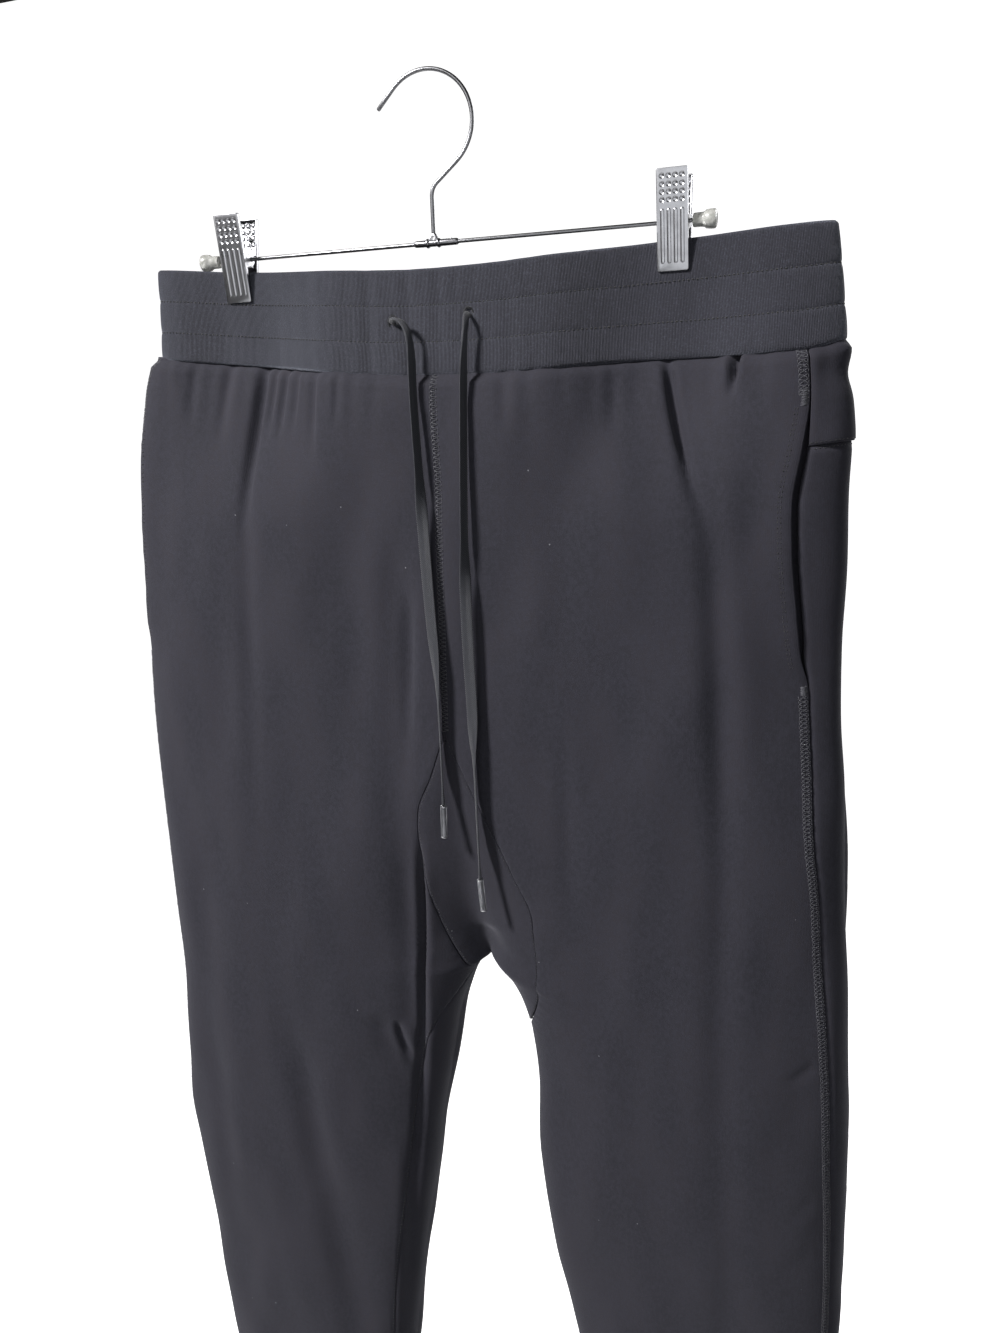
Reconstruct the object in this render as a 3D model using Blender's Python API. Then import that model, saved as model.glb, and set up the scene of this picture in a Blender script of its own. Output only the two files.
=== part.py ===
"""Joggers held by the waistband in two spring clips of a thin metal hanger.

Frame: metres, +Z up, the wearer's left towards +X, the front towards -Y. The origin is the inside top
of the hanger's hook, where a rail or a peg carries it. Every table below is in millimetres: "down" is
the distance below the origin, "x" runs across the garment, and "depth" is half its size front to back.
"""
import bisect
import math

import bmesh
import bpy
from mathutils import Vector

MM = 0.001

# ---- Driving dimensions -------------------------------------------------------------------------
CLOTH = 1.6 * MM            # wall of the body cloth
BAND_WALL = 2.2 * MM        # wall of the ribbed elastic waistband
CUFF_WALL = 2.0 * MM
SEAM_GAP = 0.3 * MM         # every two pieces that meet stay this far apart
BAND_SWELL = 0.6 * MM       # how far each of the band's three elastic rows swells
BAND_ROWS = 3

TOP_ROW = 150.0             # nominal height of the seam between the band and the body, mm down
YOKE_ROW = 195.0            # lower edge of the back yoke
GUSSET_TIP = 352.0          # where the gusset starts on the centre seam
CROTCH = 504.0              # lowest point between the legs
CORNER_LEFT = 512.0         # the gusset's side corner on each inseam
CORNER_RIGHT = 545.0
ANKLE_ROW = 1050.0          # seam between leg and cuff
CUFF_END = 1100.0
ROUND_BODY = 2.7            # exponents of the rounded sections: 2 is an ellipse, more is boxier
ROUND_LEG = 2.4
ARCH_SOFTNESS = 12.0        # how round the arch between the legs is, mm

# Outline of the body. down, left edge x, right edge x, depth.
BODY = (
    (150, -183.0, 215.5, 27.0), (170, -190.0, 217.5, 30.5), (198, -195.0, 218.6, 32.5),
    (233, -200.0, 218.5, 33.5), (282, -205.0, 218.0, 34.5), (334, -208.0, 220.5, 36.0),
    (380, -209.5, 224.2, 37.0), (420, -209.0, 227.5, 38.0), (474, -208.5, 229.5, 39.0),
    (536, -208.5, 233.5, 40.0), (583, -209.5, 235.5, 40.0), (614, -211.0, 236.5, 39.5),
    (651, -214.0, 238.0, 39.0), (682, -211.5, 238.8, 38.0), (710, -209.0, 239.0, 37.0),
    (739, -206.5, 238.0, 36.0), (786, -204.0, 236.0, 35.0), (834, -201.0, 233.5, 33.0),
    (900, -197.0, 229.5, 31.0), (980, -192.0, 224.5, 28.0), (1050, -188.0, 220.0, 26.0),
)
# Middle line and the space between the legs. down, centre x, half the gap.
MIDDLE = (
    (85, 15.0, 0), (155, 11.0, 0), (216, 11.0, 0), (352, 8.0, 0), (430, 12.0, 0), (504, 17.5, 0),
    (512, 18.0, 12.0), (526, 18.5, 20.5), (545, 19.0, 25.5), (583, 19.0, 30.0), (641, 14.0, 34.5),
    (704, 13.0, 45.0), (758, 14.0, 55.0), (834, 15.0, 66.0), (900, 15.0, 75.0), (980, 15.0, 84.0),
    (1050, 15.0, 91.0),
)
# How the depth on the middle line shrinks from the gusset's tip to the crotch. down, share of depth.
SADDLE = ((352, 1.0), (385, 0.93), (420, 0.77), (450, 0.58), (472, 0.39), (490, 0.19), (504, 0.0))
# Top and bottom edge of the waistband, which sags between the clips. x, down.
BAND_TOP = (
    (-176, 85.0), (-158, 86.5), (-121, 89.8), (-63, 94.0), (2, 97.3), (29, 97.0), (72, 95.0),
    (121, 92.3), (138, 91.6), (172, 90.3), (214, 88.6),
)
BAND_BOTTOM = (
    (-184, 135.5), (-159, 137.5), (-111, 142.2), (-60, 148.0), (-3, 152.3), (32, 152.7), (75, 151.0),
    (120, 148.8), (161, 148.7), (191, 148.0), (216, 143.5),
)
# Cross-section of the waistband. share of its height, left x, right x, depth.
BAND = ((0.0, -174.5, 206.8, 14.0), (0.4, -175.0, 209.8, 17.5), (1.0, -176.5, 213.5, 24.5))
# The side seam and, from row 171 to 316, the pocket's edge. down, distance in from the outline.
SIDE_SEAM = (
    (150, 19.0), (171, 19.5), (195, 23.5), (223, 27.5), (245, 26.5), (273, 23.0), (300, 19.5),
    (316, 15.5), (350, 15.5), (400, 16.5), (439, 13.6), (489, 11.5), (542, 10.4), (597, 9.0),
    (641, 7.5), (704, 7.0), (1050, 6.0),
)
SEAM_TURN = {-1: 0.1, 1: 1.0}   # the garment hangs turned, so the wearer's right seam lies at the edge
POCKET_TOP = 171.0
POCKET_END = 316.0
# Edges of the diamond gusset. down, half its width.
GUSSET_LEFT = (
    (352, 2.0), (375, 11.0), (399, 22.0), (422, 24.5), (447, 23.5), (472, 20.0), (495, 15.0),
    (512, 12.0),
)
GUSSET_RIGHT = (
    (352, 2.0), (380, 12.0), (411, 25.0), (434, 33.5), (460, 42.0), (485, 42.0), (510, 37.5),
    (530, 31.0), (545, 25.5),
)
# Inseam: how far it lies from the inner edge, on the front of the leg. down, left leg, right leg.
INSEAM = ((504, 0, 0), (512, 0, 0), (545, 11.0, 0), (560, 14.0, 0), (700, 13.0, 0), (1050, 6.0, 0))

# Largest folds. face, x and down of each end, depth in mm (minus for a ridge), half-width in mm.
FOLDS = (
    ("front", -106, 140, -118, 240, 4.0, 9.0),
    ("front", -90, 146, -92, 190, 2.2, 7.0),
    ("front", -68, 147, -70, 200, 2.0, 8.0),
    ("front", 128, 148, 147, 222, 4.5, 7.5),
    ("front", -80, 215, -88, 330, -2.0, 18.0),
    ("front", -44, 215, -48, 380, 2.5, 15.0),
    ("front", -20, 250, -26, 420, 3.5, 11.0),
    ("front", 75, 170, 90, 420, 2.0, 22.0),
    ("front", -23, 430, -28, 640, 3.5, 9.0),
    ("front", -46, 545, -33, 590, 2.5, 8.0),
    ("front", -108, 560, -62, 860, 2.5, 14.0),
    ("front", -172, 470, -176, 900, 2.0, 12.0),
    ("back", -95, 142, -105, 300, 4.0, 12.0),
    ("back", -40, 148, -45, 260, 3.0, 10.0),
    ("back", 60, 148, 70, 280, 3.5, 11.0),
    ("back", 130, 148, 150, 330, 3.0, 12.0),
    ("back", -130, 420, -120, 700, 3.0, 20.0),
    ("back", 140, 430, 150, 720, 3.0, 20.0),
)

# Hanger
HOOK_WIRE = 2.2 * MM
BAR_WIRE = 2.1 * MM
HOOK_RADIUS = 25.5 * MM
HOOK_CENTRE_X = -1.4 * MM
HOOK_ARC = (-51.0, 135.0)   # degrees, from the slanted shoulder to the straight tip
HOOK_TIP = 13.0 * MM
SHANK_TOP = -56.0 * MM
BAR_Z = -83.3 * MM
BAR_LEFT = -132.4 * MM
BAR_RIGHT = 137.8 * MM
KNOB_LENGTH = 11.8 * MM
CLIP_X = {"left": -120.0 * MM, "right": 129.0 * MM}
CLIP_TOP = -60.0 * MM
CLIP_BOTTOM = -107.0 * MM
CLIP_WIDTH = 15.5 * MM
CLIP_SHEET = 0.9 * MM
CLIP_FLARE = 11.5 * MM      # outer face of each plate at its top
JAW_DEPTH = 3.0             # half thickness of the pinched band, mm
PINCH_FLAT = 9.0            # half width of the pinched stretch, mm
PINCH_FADE = 45.0
PINCH_FADE_DOWN = (112.0, 235.0)

# Drawstrings. x, y, down of the route's own points, in mm.
TAPE_WIDTH = 6.6 * MM
TAPE_THICK = 1.2 * MM
CURL_WIDTH = 3.4 * MM       # width where the tape is curled up in its eyelet
EYELETS = {"left": (-18.1, 124.4), "right": (24.6, 122.4)}
EYELET_RADIUS = 2.5 * MM
CORD_LEFT = (
    (-18.1, -17.0, 124.4), (-18.0, -21.0, 124.2), (-15.6, -24.2, 123.3), (-11.0, -26.4, 124.2),
    (-7.0, -27.9, 128.6), (-4.7, -29.2, 136.0), (-3.8, -30.4, 145.0), (-3.2, -32.2, 158.0),
    (-2.2, -34.2, 172.0), (-0.9, -36.0, 190.0), (0.1, -37.2, 208.0), (1.1, -38.0, 229.0),
    (2.3, -38.8, 256.0), (3.9, -39.6, 285.0), (5.6, -40.2, 311.0), (6.3, -40.6, 340.0),
    (6.4, -40.8, 365.0), (6.5, -41.0, 390.0),
)
CORD_RIGHT = (
    (24.6, -17.0, 122.4), (24.8, -21.2, 122.4), (25.4, -24.6, 124.4), (25.6, -27.0, 129.6),
    (25.4, -28.8, 137.0), (25.3, -30.6, 147.0), (25.4, -33.0, 162.0), (25.5, -35.4, 181.0),
    (25.1, -37.4, 210.0), (24.5, -38.6, 247.0), (24.8, -39.6, 292.0), (26.0, -40.4, 331.0),
    (26.0, -40.8, 352.0), (26.5, -41.2, 375.0), (26.8, -41.5, 399.0), (27.4, -41.8, 433.0),
)
AGLET_LENGTH = 19.5 * MM
AGLET_RADIUS = 1.9 * MM
AGLET_LEAN = {"left": -0.5 * MM, "right": 1.4 * MM}

# ---- Materials ----------------------------------------------------------------------------------
FINISHES = {
    # name: colour, roughness, metallic
    "body_knit": ((0.020, 0.019, 0.024), 0.85, 0.0),
    "band_rib": ((0.032, 0.034, 0.046), 0.75, 0.0),
    "drawstring": ((0.028, 0.028, 0.033), 0.70, 0.0),
    "aglet_metal": ((0.16, 0.16, 0.18), 0.35, 1.0),
    "chrome": ((0.75, 0.75, 0.77), 0.18, 1.0),
    "clear_plastic": ((0.80, 0.80, 0.78), 0.25, 0.0),
}


def material(name):
    found = bpy.data.materials.get(name)
    if found:
        return found
    made = bpy.data.materials.new(name)
    made.use_nodes = True
    shader = made.node_tree.nodes["Principled BSDF"]
    colour, roughness, metallic = FINISHES[name]
    shader.inputs["Base Color"].default_value = (*colour, 1.0)
    shader.inputs["Roughness"].default_value = roughness
    shader.inputs["Metallic"].default_value = metallic
    return made


# ---- Tables read as smooth curves ---------------------------------------------------------------
def smooth(rows, column=1):
    """A function of the table's first column that runs smoothly through one of its others."""
    keys = [row[0] for row in rows]
    values = [row[column] for row in rows]
    steps = [(b - a) / (q - p) for p, q, a, b in zip(keys, keys[1:], values, values[1:])]
    slopes = [steps[0]]
    for before, after in zip(steps, steps[1:]):
        level = before * after <= 0
        slopes.append(0.0 if level else 2 * before * after / (before + after))
    slopes.append(steps[-1])

    def read(key):
        key = min(max(key, keys[0]), keys[-1])
        i = min(max(bisect.bisect_right(keys, key) - 1, 0), len(keys) - 2)
        span = keys[i + 1] - keys[i]
        t = (key - keys[i]) / span
        return (values[i] * (1 + 2 * t) * (1 - t) ** 2 + slopes[i] * span * t * (1 - t) ** 2
                + values[i + 1] * t * t * (3 - 2 * t) + slopes[i + 1] * span * t * t * (t - 1))
    return read


edge_left = smooth(BODY, 1)
edge_right = smooth(BODY, 2)
body_depth = smooth(BODY, 3)
centre_x = smooth(MIDDLE, 1)
leg_gap = smooth(MIDDLE, 2)
saddle_share = smooth(SADDLE)
band_top = smooth(BAND_TOP)
band_bottom = smooth(BAND_BOTTOM)
band_left = smooth(BAND, 1)
band_right = smooth(BAND, 2)
band_depth = smooth(BAND, 3)
seam_inset = smooth(SIDE_SEAM)
gusset_half = {-1: smooth(GUSSET_LEFT), 1: smooth(GUSSET_RIGHT)}
gusset_corner = {-1: CORNER_LEFT, 1: CORNER_RIGHT}
inseam_inset = {-1: smooth(INSEAM, 1), 1: smooth(INSEAM, 2)}


def ramp(value, low, high):
    """0 below low, 1 above high, smooth between."""
    t = min(max((value - low) / (high - low), 0.0), 1.0)
    return t * t * (3 - 2 * t)


def pinch(x, down):
    """1 where a clip squeezes the cloth flat, 0 away from the clips."""
    fade = 1 - ramp(down, *PINCH_FADE_DOWN)
    near = min(abs(x - place / MM) for place in CLIP_X.values())
    return fade * (1 - ramp(near, PINCH_FLAT, PINCH_FLAT + PINCH_FADE))


def fold_depth(x, down, face):
    """How far the folds push the surface in at this place, in mm."""
    total = 0.0
    for where, x0, down0, x1, down1, depth, width in FOLDS:
        if where != face:
            continue
        run, drop = x1 - x0, down1 - down0
        length = math.hypot(run, drop)
        along = ((x - x0) * run + (down - down0) * drop) / length ** 2
        across = ((x - x0) * drop - (down - down0) * run) / length
        if -0.25 < along < 1.25:
            taper = ramp(along, -0.25, 0.15) * (1 - ramp(along, 0.35, 1.25))
            total += depth * taper * math.exp(-(across / width) ** 2)
    return total


# ---- The body's surface -------------------------------------------------------------------------
# A point is named by its half (-1 the wearer's right, 1 the left), a loop place and a row. The loop
# runs 0 to 1 over the front from the middle outwards and 1 to 2 back over the back. In the legs it
# closes over the inner side.
def soft_offset(offset):
    return math.sqrt(offset ** 2 + ARCH_SOFTNESS ** 2) - ARCH_SOFTNESS


def half_depth(x, row, face):
    """Half the body's front-to-back size at x on this row, in mm."""
    centre = centre_x(row)
    offset = abs(x - centre)
    outer = abs((edge_right(row) if x > centre else edge_left(row)) - centre)
    legs = ramp(row, GUSSET_TIP - 20, CROTCH)
    exponent = ROUND_BODY + (ROUND_LEG - ROUND_BODY) * legs
    ridge = legs * (outer + leg_gap(row)) / 2
    if offset >= ridge:
        share = min((offset - ridge) / (outer - ridge), 1.0)
    elif row < CROTCH:
        flat = 1 - saddle_share(row) ** exponent
        share = flat ** (1 / exponent) * (ridge - soft_offset(offset)) / ridge
    else:
        inner = soft_offset(leg_gap(row))
        share = min((ridge - soft_offset(offset)) / max(ridge - inner, 1e-6), 1.0)
    share = max(share, 0.0)
    full = body_depth(row)
    depth = full * (1 - share ** exponent) ** (1 / exponent)
    squeeze = pinch(x, row + lift(x, row))
    depth = depth * (1 - squeeze) + min(depth, JAW_DEPTH) * squeeze
    return depth - fold_depth(x, row, face) * ramp(depth, 0.1 * full, 0.75 * full)


def lift(x, row):
    """The top rows follow the band's lower edge and level out further down."""
    return (band_bottom(x) - TOP_ROW) * (1 - ramp(row, TOP_ROW, TOP_ROW + 90))


def spread(place, row):
    """Share of the way from the middle to the outer edge at a loop place 0 to 1."""
    legs = ramp(row, GUSSET_TIP, CROTCH)
    body = math.sin(math.pi / 2 * place)
    leg = (1 - math.cos(math.pi * place)) / 2
    return body + (leg - body) * legs


def inner_x(half, row):
    return centre_x(row) + half * leg_gap(row)


def outer_x(half, row):
    return edge_right(row) if half > 0 else edge_left(row)


def place_of(half, x, row):
    """The loop place, 0 to 1, of a point x on the front."""
    start, end = inner_x(half, row), outer_x(half, row)
    wanted = (x - start) / (end - start)
    low, high = 0.0, 1.0
    for _ in range(40):
        middle = (low + high) / 2
        if spread(middle, row) < wanted:
            low = middle
        else:
            high = middle
    return (low + high) / 2


def body_point(half, place, row):
    """A point of the body's outer surface."""
    start, end = inner_x(half, row), outer_x(half, row)
    face = "front" if place <= 1 else "back"
    if place < 0 and row < CROTCH:
        x = start - spread(-place, row) * (end - start)
    elif place > 2 and row < CROTCH:
        x = start - spread(place - 2, row) * (end - start)
    else:
        if place < 0 or place > 2:
            face = "back" if place < 0 else "front"
        folded = abs((place + 1) % 2 - 1)
        x = start + spread(folded, row) * (end - start)
    depth = half_depth(x, row, face)
    y = -depth if face == "front" else depth
    return Vector((x, y, -(row + lift(x, row)))) * MM


def body_normal(half, place, row):
    """The outward direction of the body's surface at a point, the same for the pieces that meet there."""
    step = 0.006
    along = body_point(half, place + step, row) - body_point(half, place - step, row)
    down = body_point(half, place, row + 1.5) - body_point(half, place, row - 1.5)
    return down.cross(along).normalized() * half


# ---- Walls --------------------------------------------------------------------------------------
def wall(name, points, normals, thickness, finish, closed=False):
    """A closed wall from a grid of outer points and their outward directions.

    points[i][j]: i runs down and j along the loop. The wall lies behind the points.
    """
    mesh = bmesh.new()
    skins = []
    for depth in (0.0, thickness):
        skins.append([[mesh.verts.new(p - n * depth) for p, n in zip(line, normal_line)]
                      for line, normal_line in zip(points, normals)])
    height, width = len(points), len(points[0])
    steps = width if closed else width - 1
    near, far = skins
    for skin in skins:
        for i in range(height - 1):
            for j in range(steps):
                k = (j + 1) % width
                mesh.faces.new((skin[i][j], skin[i + 1][j], skin[i + 1][k], skin[i][k]))
    for i in (0, height - 1):
        for j in range(steps):
            k = (j + 1) % width
            mesh.faces.new((near[i][j], near[i][k], far[i][k], far[i][j]))
    if not closed:
        for j in (0, width - 1):
            for i in range(height - 1):
                mesh.faces.new((near[i][j], near[i + 1][j], far[i + 1][j], far[i][j]))
    return finish_mesh(name, mesh, finish)


def level(direction):
    """The same direction without its rise, for edges that are cut level."""
    return Vector((direction.x, direction.y, 0)).normalized()


def ring_normals(rows):
    """Outward directions of closed rows, which run round the piece over the back."""
    normals = []
    for i, line in enumerate(rows):
        above, below = rows[max(i - 1, 0)], rows[min(i + 1, len(rows) - 1)]
        count = len(line)
        found = [(below[j] - above[j]).cross(line[(j + 1) % count] - line[j - 1]).normalized()
                 for j in range(count)]
        normals.append([level(n) for n in found] if i in (0, len(rows) - 1) else found)
    return normals


def finish_mesh(name, mesh, finish, sharp=40.0):
    bmesh.ops.remove_doubles(mesh, verts=mesh.verts, dist=1e-7)
    bmesh.ops.recalc_face_normals(mesh, faces=mesh.faces)
    if mesh.calc_volume(signed=True) < 0:
        bmesh.ops.reverse_faces(mesh, faces=mesh.faces)
    data = bpy.data.meshes.new(name)
    mesh.to_mesh(data)
    mesh.free()
    data.shade_smooth()
    data.set_sharp_from_angle(angle=math.radians(sharp))
    made = bpy.data.objects.new(name, data)
    bpy.context.scene.collection.objects.link(made)
    data.materials.append(material(finish))
    return made


def between(start, end, count):
    return [start + (end - start) * i / count for i in range(count + 1)]


GUSSET_STEPS = 9
LEG_STEPS = 12
FRONT_COLUMNS = 16
BACK_COLUMNS = 14
UPPER_ROWS = [150, 157, 166, 178, 195, 214, 236, 260, 290, 320, 351.4]
YOKE_ROWS = 5               # how many of the upper rows the yoke takes
YOKE_PROUD = 0.5 * MM
POCKET_GAPE = 2.0           # width of the pocket's mouth, mm
POCKET_LIFT = 1.0 * MM      # how far its edge stands off
HALF_GAP = SEAM_GAP / MM / 2


def leg_rows(half):
    """The rows of one half below the gusset's tip."""
    tip_to_corner = between(GUSSET_TIP, gusset_corner[half], GUSSET_STEPS)
    below = between(gusset_corner[half], ANKLE_ROW, LEG_STEPS)
    return tip_to_corner + below[1:]


def panel(name, half_of, rows, places_of, depth=0.0, thickness=CLOTH, raised=None):
    """A wall on the body's surface. places_of(row) lists its columns as (half, place)."""
    points, normals = [], []
    for i, row in enumerate(rows):
        line, directions = [], []
        for j, (half, place) in enumerate(places_of(row)):
            normal = body_normal(half, place, row)
            proud = raised(row, j) if raised else 0.0
            point = body_point(half, place, row) + normal * (proud - depth)
            if i == 0 and row == TOP_ROW:
                point -= Vector((0, 0, SEAM_GAP))
            line.append(point)
            directions.append(level(normal) if i in (0, len(rows) - 1) else normal)
        points.append(line)
        normals.append(directions)
    return wall(name, points, normals, thickness, "body_knit")


def seam_x(half, row):
    return outer_x(half, row) - half * seam_inset(row) * SEAM_TURN[half]


def front_start(half, row):
    """x of the front panel's inner edge: centre seam, gusset edge, then inseam."""
    if row < GUSSET_TIP:
        return centre_x(row)
    if row < gusset_corner[half]:
        return centre_x(row) + half * gusset_half[half](row)
    return inner_x(half, row) + half * inseam_inset[half](row)


def shift_place(half, place, row, distance):
    """Move a loop place by a distance in mm along the surface."""
    step = 0.002
    span = (body_point(half, place + step, row) - body_point(half, place - step, row)).length / MM
    return place + distance * 2 * step / max(span, 1e-6)


def pocket_mouth(row):
    """1 along the pocket's mouth, 0 at and beyond its ends."""
    return ramp(row, POCKET_TOP, POCKET_TOP + 30) * (1 - ramp(row, POCKET_END - 30, POCKET_END))


def side_place(half, row, distance):
    """The side seam's place, moved towards the front (minus) or the back."""
    return shift_place(half, place_of(half, seam_x(half, row), row), row, distance)


def back_end(half, row):
    """Loop place of the back panel's inner edge."""
    if row < GUSSET_TIP:
        return 2.0
    if row < gusset_corner[half]:
        x = centre_x(row) + half * gusset_half[half](row)
        return 2.0 - place_of(half, x, row)
    return 2.0 + place_of(half, front_start(half, row), row)


def back_places(half, row, columns):
    start = side_place(half, row, HALF_GAP + POCKET_GAPE * pocket_mouth(row))
    end = shift_place(half, back_end(half, row), row, -HALF_GAP)
    return between(start, 1.0, 3) + between(1.0, end, columns - 3)[1:]


def make_body():
    for half, side in ((-1, "right"), (1, "left")):
        def front_places(row):
            start = place_of(half, front_start(half, row), row)
            start = shift_place(half, start, row, HALF_GAP)
            end = side_place(half, row, -HALF_GAP)
            return [(half, place) for place in between(start, end, FRONT_COLUMNS)]

        def mouth_lift(row, column):
            return POCKET_LIFT * pocket_mouth(row) * ramp(column, FRONT_COLUMNS - 2, FRONT_COLUMNS)

        def rear_places(row):
            return [(half, place) for place in back_places(half, row, BACK_COLUMNS)]

        panel("front_" + side, half, UPPER_ROWS + leg_rows(half), front_places, raised=mouth_lift)
        rows = [YOKE_ROW + HALF_GAP] + UPPER_ROWS[YOKE_ROWS:] + leg_rows(half)
        panel("back_" + side, half, rows, rear_places)


def make_yoke():
    """One piece across the back from pocket to pocket, a little proud of the panels below it."""
    rows = UPPER_ROWS[:YOKE_ROWS - 1] + [YOKE_ROW - HALF_GAP]

    def places(row):
        left = [(1, place) for place in back_places(1, row, BACK_COLUMNS)]
        right = [(-1, place) for place in back_places(-1, row, BACK_COLUMNS)]
        return left[:-1] + [(1, 2.0)] + right[-2::-1]

    panel("back_yoke", 1, rows, places, raised=lambda row, column: YOKE_PROUD)


# ---- Gusset -------------------------------------------------------------------------------------
GUSSET_COLUMNS = 8


def arch_row(x):
    """The height at which the arch between the legs crosses x."""
    low, high = CROTCH, CORNER_RIGHT + 5
    for _ in range(40):
        middle = (low + high) / 2
        if leg_gap(middle) < abs(x - centre_x(middle)):
            low = middle
        else:
            high = middle
    return (low + high) / 2


def gusset_point(step, share):
    """step runs 0 at the front tip over 1 on the arch to 2 at the back tip; share from left to right."""
    face = "front" if step <= 1 else "back"
    run = step if step <= 1 else 2 - step
    left_row = GUSSET_TIP + (CORNER_LEFT - GUSSET_TIP) * run
    right_row = GUSSET_TIP + (CORNER_RIGHT - GUSSET_TIP) * run
    left = centre_x(left_row) - gusset_half[-1](left_row)
    right = centre_x(right_row) + gusset_half[1](right_row)
    x = left + (right - left) * share
    arch_left, arch_right = inner_x(-1, CORNER_LEFT), inner_x(1, CORNER_RIGHT)
    inside = min(max(share, 0.0), 1.0)
    corner_row = CORNER_LEFT + (CORNER_RIGHT - CORNER_LEFT) * inside
    drop = (corner_row - arch_row(arch_left + (arch_right - arch_left) * inside)) * run ** 2
    row = left_row + (right_row - left_row) * share - drop
    depth = half_depth(x, row, face) if run < 0.9999 else 0.0
    return Vector((x, -depth if face == "front" else depth, -row)) * MM


def gusset_normal(step, share):
    """The body's own direction on the seams, so that the panels' walls are followed there."""
    if share in (0.0, 1.0):
        half = 1 if share else -1
        run = step if step <= 1 else 2 - step
        row = GUSSET_TIP + (gusset_corner[half] - GUSSET_TIP) * run
        x = centre_x(row) + half * gusset_half[half](row)
        place = place_of(half, x, row) if run < 0.9999 else 0.0
        return body_normal(half, place if step <= 1 else 2 - place, row)
    down = gusset_point(min(step + 0.01, 2.0), share) - gusset_point(max(step - 0.01, 0.0), share)
    across = gusset_point(step, share + 0.02) - gusset_point(step, share - 0.02)
    return down.cross(across).normalized()


def make_gusset():
    """The diamond between the four panels, folded over the arch between the legs."""
    points, normals = [], []
    for i in range(2 * GUSSET_STEPS + 1):
        step = i / GUSSET_STEPS
        width = (gusset_point(step, 1.0) - gusset_point(step, 0.0)).length / MM
        trim = min(2 * HALF_GAP / width, 0.3)
        line, directions = [], []
        for share in between(0.0, 1.0, GUSSET_COLUMNS):
            line.append(gusset_point(step, trim + (1 - 2 * trim) * share))
            directions.append(gusset_normal(step, share))
        if i in (0, 2 * GUSSET_STEPS):
            line = [point - Vector((0, 0, 2 * SEAM_GAP)) for point in line]
        points.append(line)
        normals.append(directions)
    wall("gusset", points, normals, CLOTH, "body_knit")


# ---- Pocket facings -----------------------------------------------------------------------------
FACING_SINK = 2.1 * MM      # how far the facing lies behind the pocket's edge
FACING_UNDER = 13.0         # how far it runs in under the front, mm
FACING_OUT = 8.0            # and out under the side


def make_facings():
    """A strip behind each slanted pocket mouth, seen through the gap along its edge."""
    rows = between(POCKET_TOP - 8, POCKET_END + 8, 9)
    for half, side in ((-1, "right"), (1, "left")):
        def places(row):
            edge = side_place(half, row, 0.0)
            start = shift_place(half, edge, row, -FACING_UNDER)
            end = shift_place(half, edge, row, FACING_OUT)
            return [(half, place) for place in between(start, end, 5)]

        panel("pocket_facing_" + side, half, rows, places, depth=FACING_SINK, thickness=1.2 * MM)


# ---- Waistband and cuffs ------------------------------------------------------------------------
def band_point(turn, share):
    """turn runs 0 to 1 round the band from its right end over the back; share runs down it."""
    left, right = band_left(share), band_right(share)
    centre, reach = (left + right) / 2, (right - left) / 2
    angle = 2 * math.pi * turn
    across, deep = math.cos(angle), math.sin(angle)
    x = centre + reach * math.copysign(abs(across) ** (2 / ROUND_BODY), across)
    depth = band_depth(share) * abs(deep) ** (2 / ROUND_BODY)
    top, bottom = band_top(x), band_bottom(x)
    down = top + (bottom - top) * share
    squeeze = pinch(x, down)
    depth = depth * (1 - squeeze) + min(depth, JAW_DEPTH) * squeeze
    return Vector((x, math.copysign(depth, deep), -down)) * MM


BAND_COLUMNS = 84


def band_turns():
    """Turns that spread the columns evenly along the band."""
    turns = []
    for i in range(BAND_COLUMNS):
        even = i / BAND_COLUMNS
        turns.append(even + 0.045 * math.sin(4 * math.pi * even))
    return turns


def make_waistband():
    shares = between(0.0, 1.0, 2 * BAND_ROWS)
    grid = [[band_point(turn, share) for turn in band_turns()] for share in shares]
    normals = ring_normals(grid)
    for i in range(1, len(grid), 2):
        grid[i] = [point + normal * BAND_SWELL for point, normal in zip(grid[i], normals[i])]
    band = wall("waistband", grid, normals, BAND_WALL, "band_rib", closed=True)
    for side, (x, down) in EYELETS.items():
        bpy.ops.mesh.primitive_cylinder_add(vertices=12, radius=EYELET_RADIUS, depth=30 * MM,
                                            location=(x * MM, -25 * MM, -down * MM),
                                            rotation=(math.pi / 2, 0, 0))
        cutter = bpy.context.object
        cutter.name = "eyelet_cutter_" + side
        cutter.hide_render = True
        cutter.display_type = "WIRE"
        cut = band.modifiers.new("eyelet_" + side, "BOOLEAN")
        cut.object = cutter
        cut.operation = "DIFFERENCE"
        cut.solver = "EXACT"


def make_cuffs():
    """Plain ribbed cuffs at the ankles, a little narrower than the legs."""
    squeeze = 6.0
    top = ANKLE_ROW + 2 * HALF_GAP
    downs = between(top, CUFF_END, 3)
    for half, side in ((-1, "right"), (1, "left")):
        inner, outer = inner_x(half, ANKLE_ROW), outer_x(half, ANKLE_ROW)
        centre = (inner + outer) / 2
        grid = []
        for down in downs:
            narrow = squeeze * ramp(down, top, top + 14)
            reach = abs(outer - inner) / 2 - narrow
            depth = body_depth(ANKLE_ROW) - narrow * 0.4
            line = []
            for i in range(28):
                angle = 2 * math.pi * i / 28
                across, deep = math.cos(angle), math.sin(angle)
                x = centre + reach * math.copysign(abs(across) ** (2 / ROUND_LEG), across)
                y = depth * math.copysign(abs(deep) ** (2 / ROUND_LEG), deep)
                line.append(Vector((x, y, -down)) * MM)
            grid.append(line)
        wall("cuff_" + side, grid, ring_normals(grid), CUFF_WALL, "band_rib", closed=True)


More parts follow.
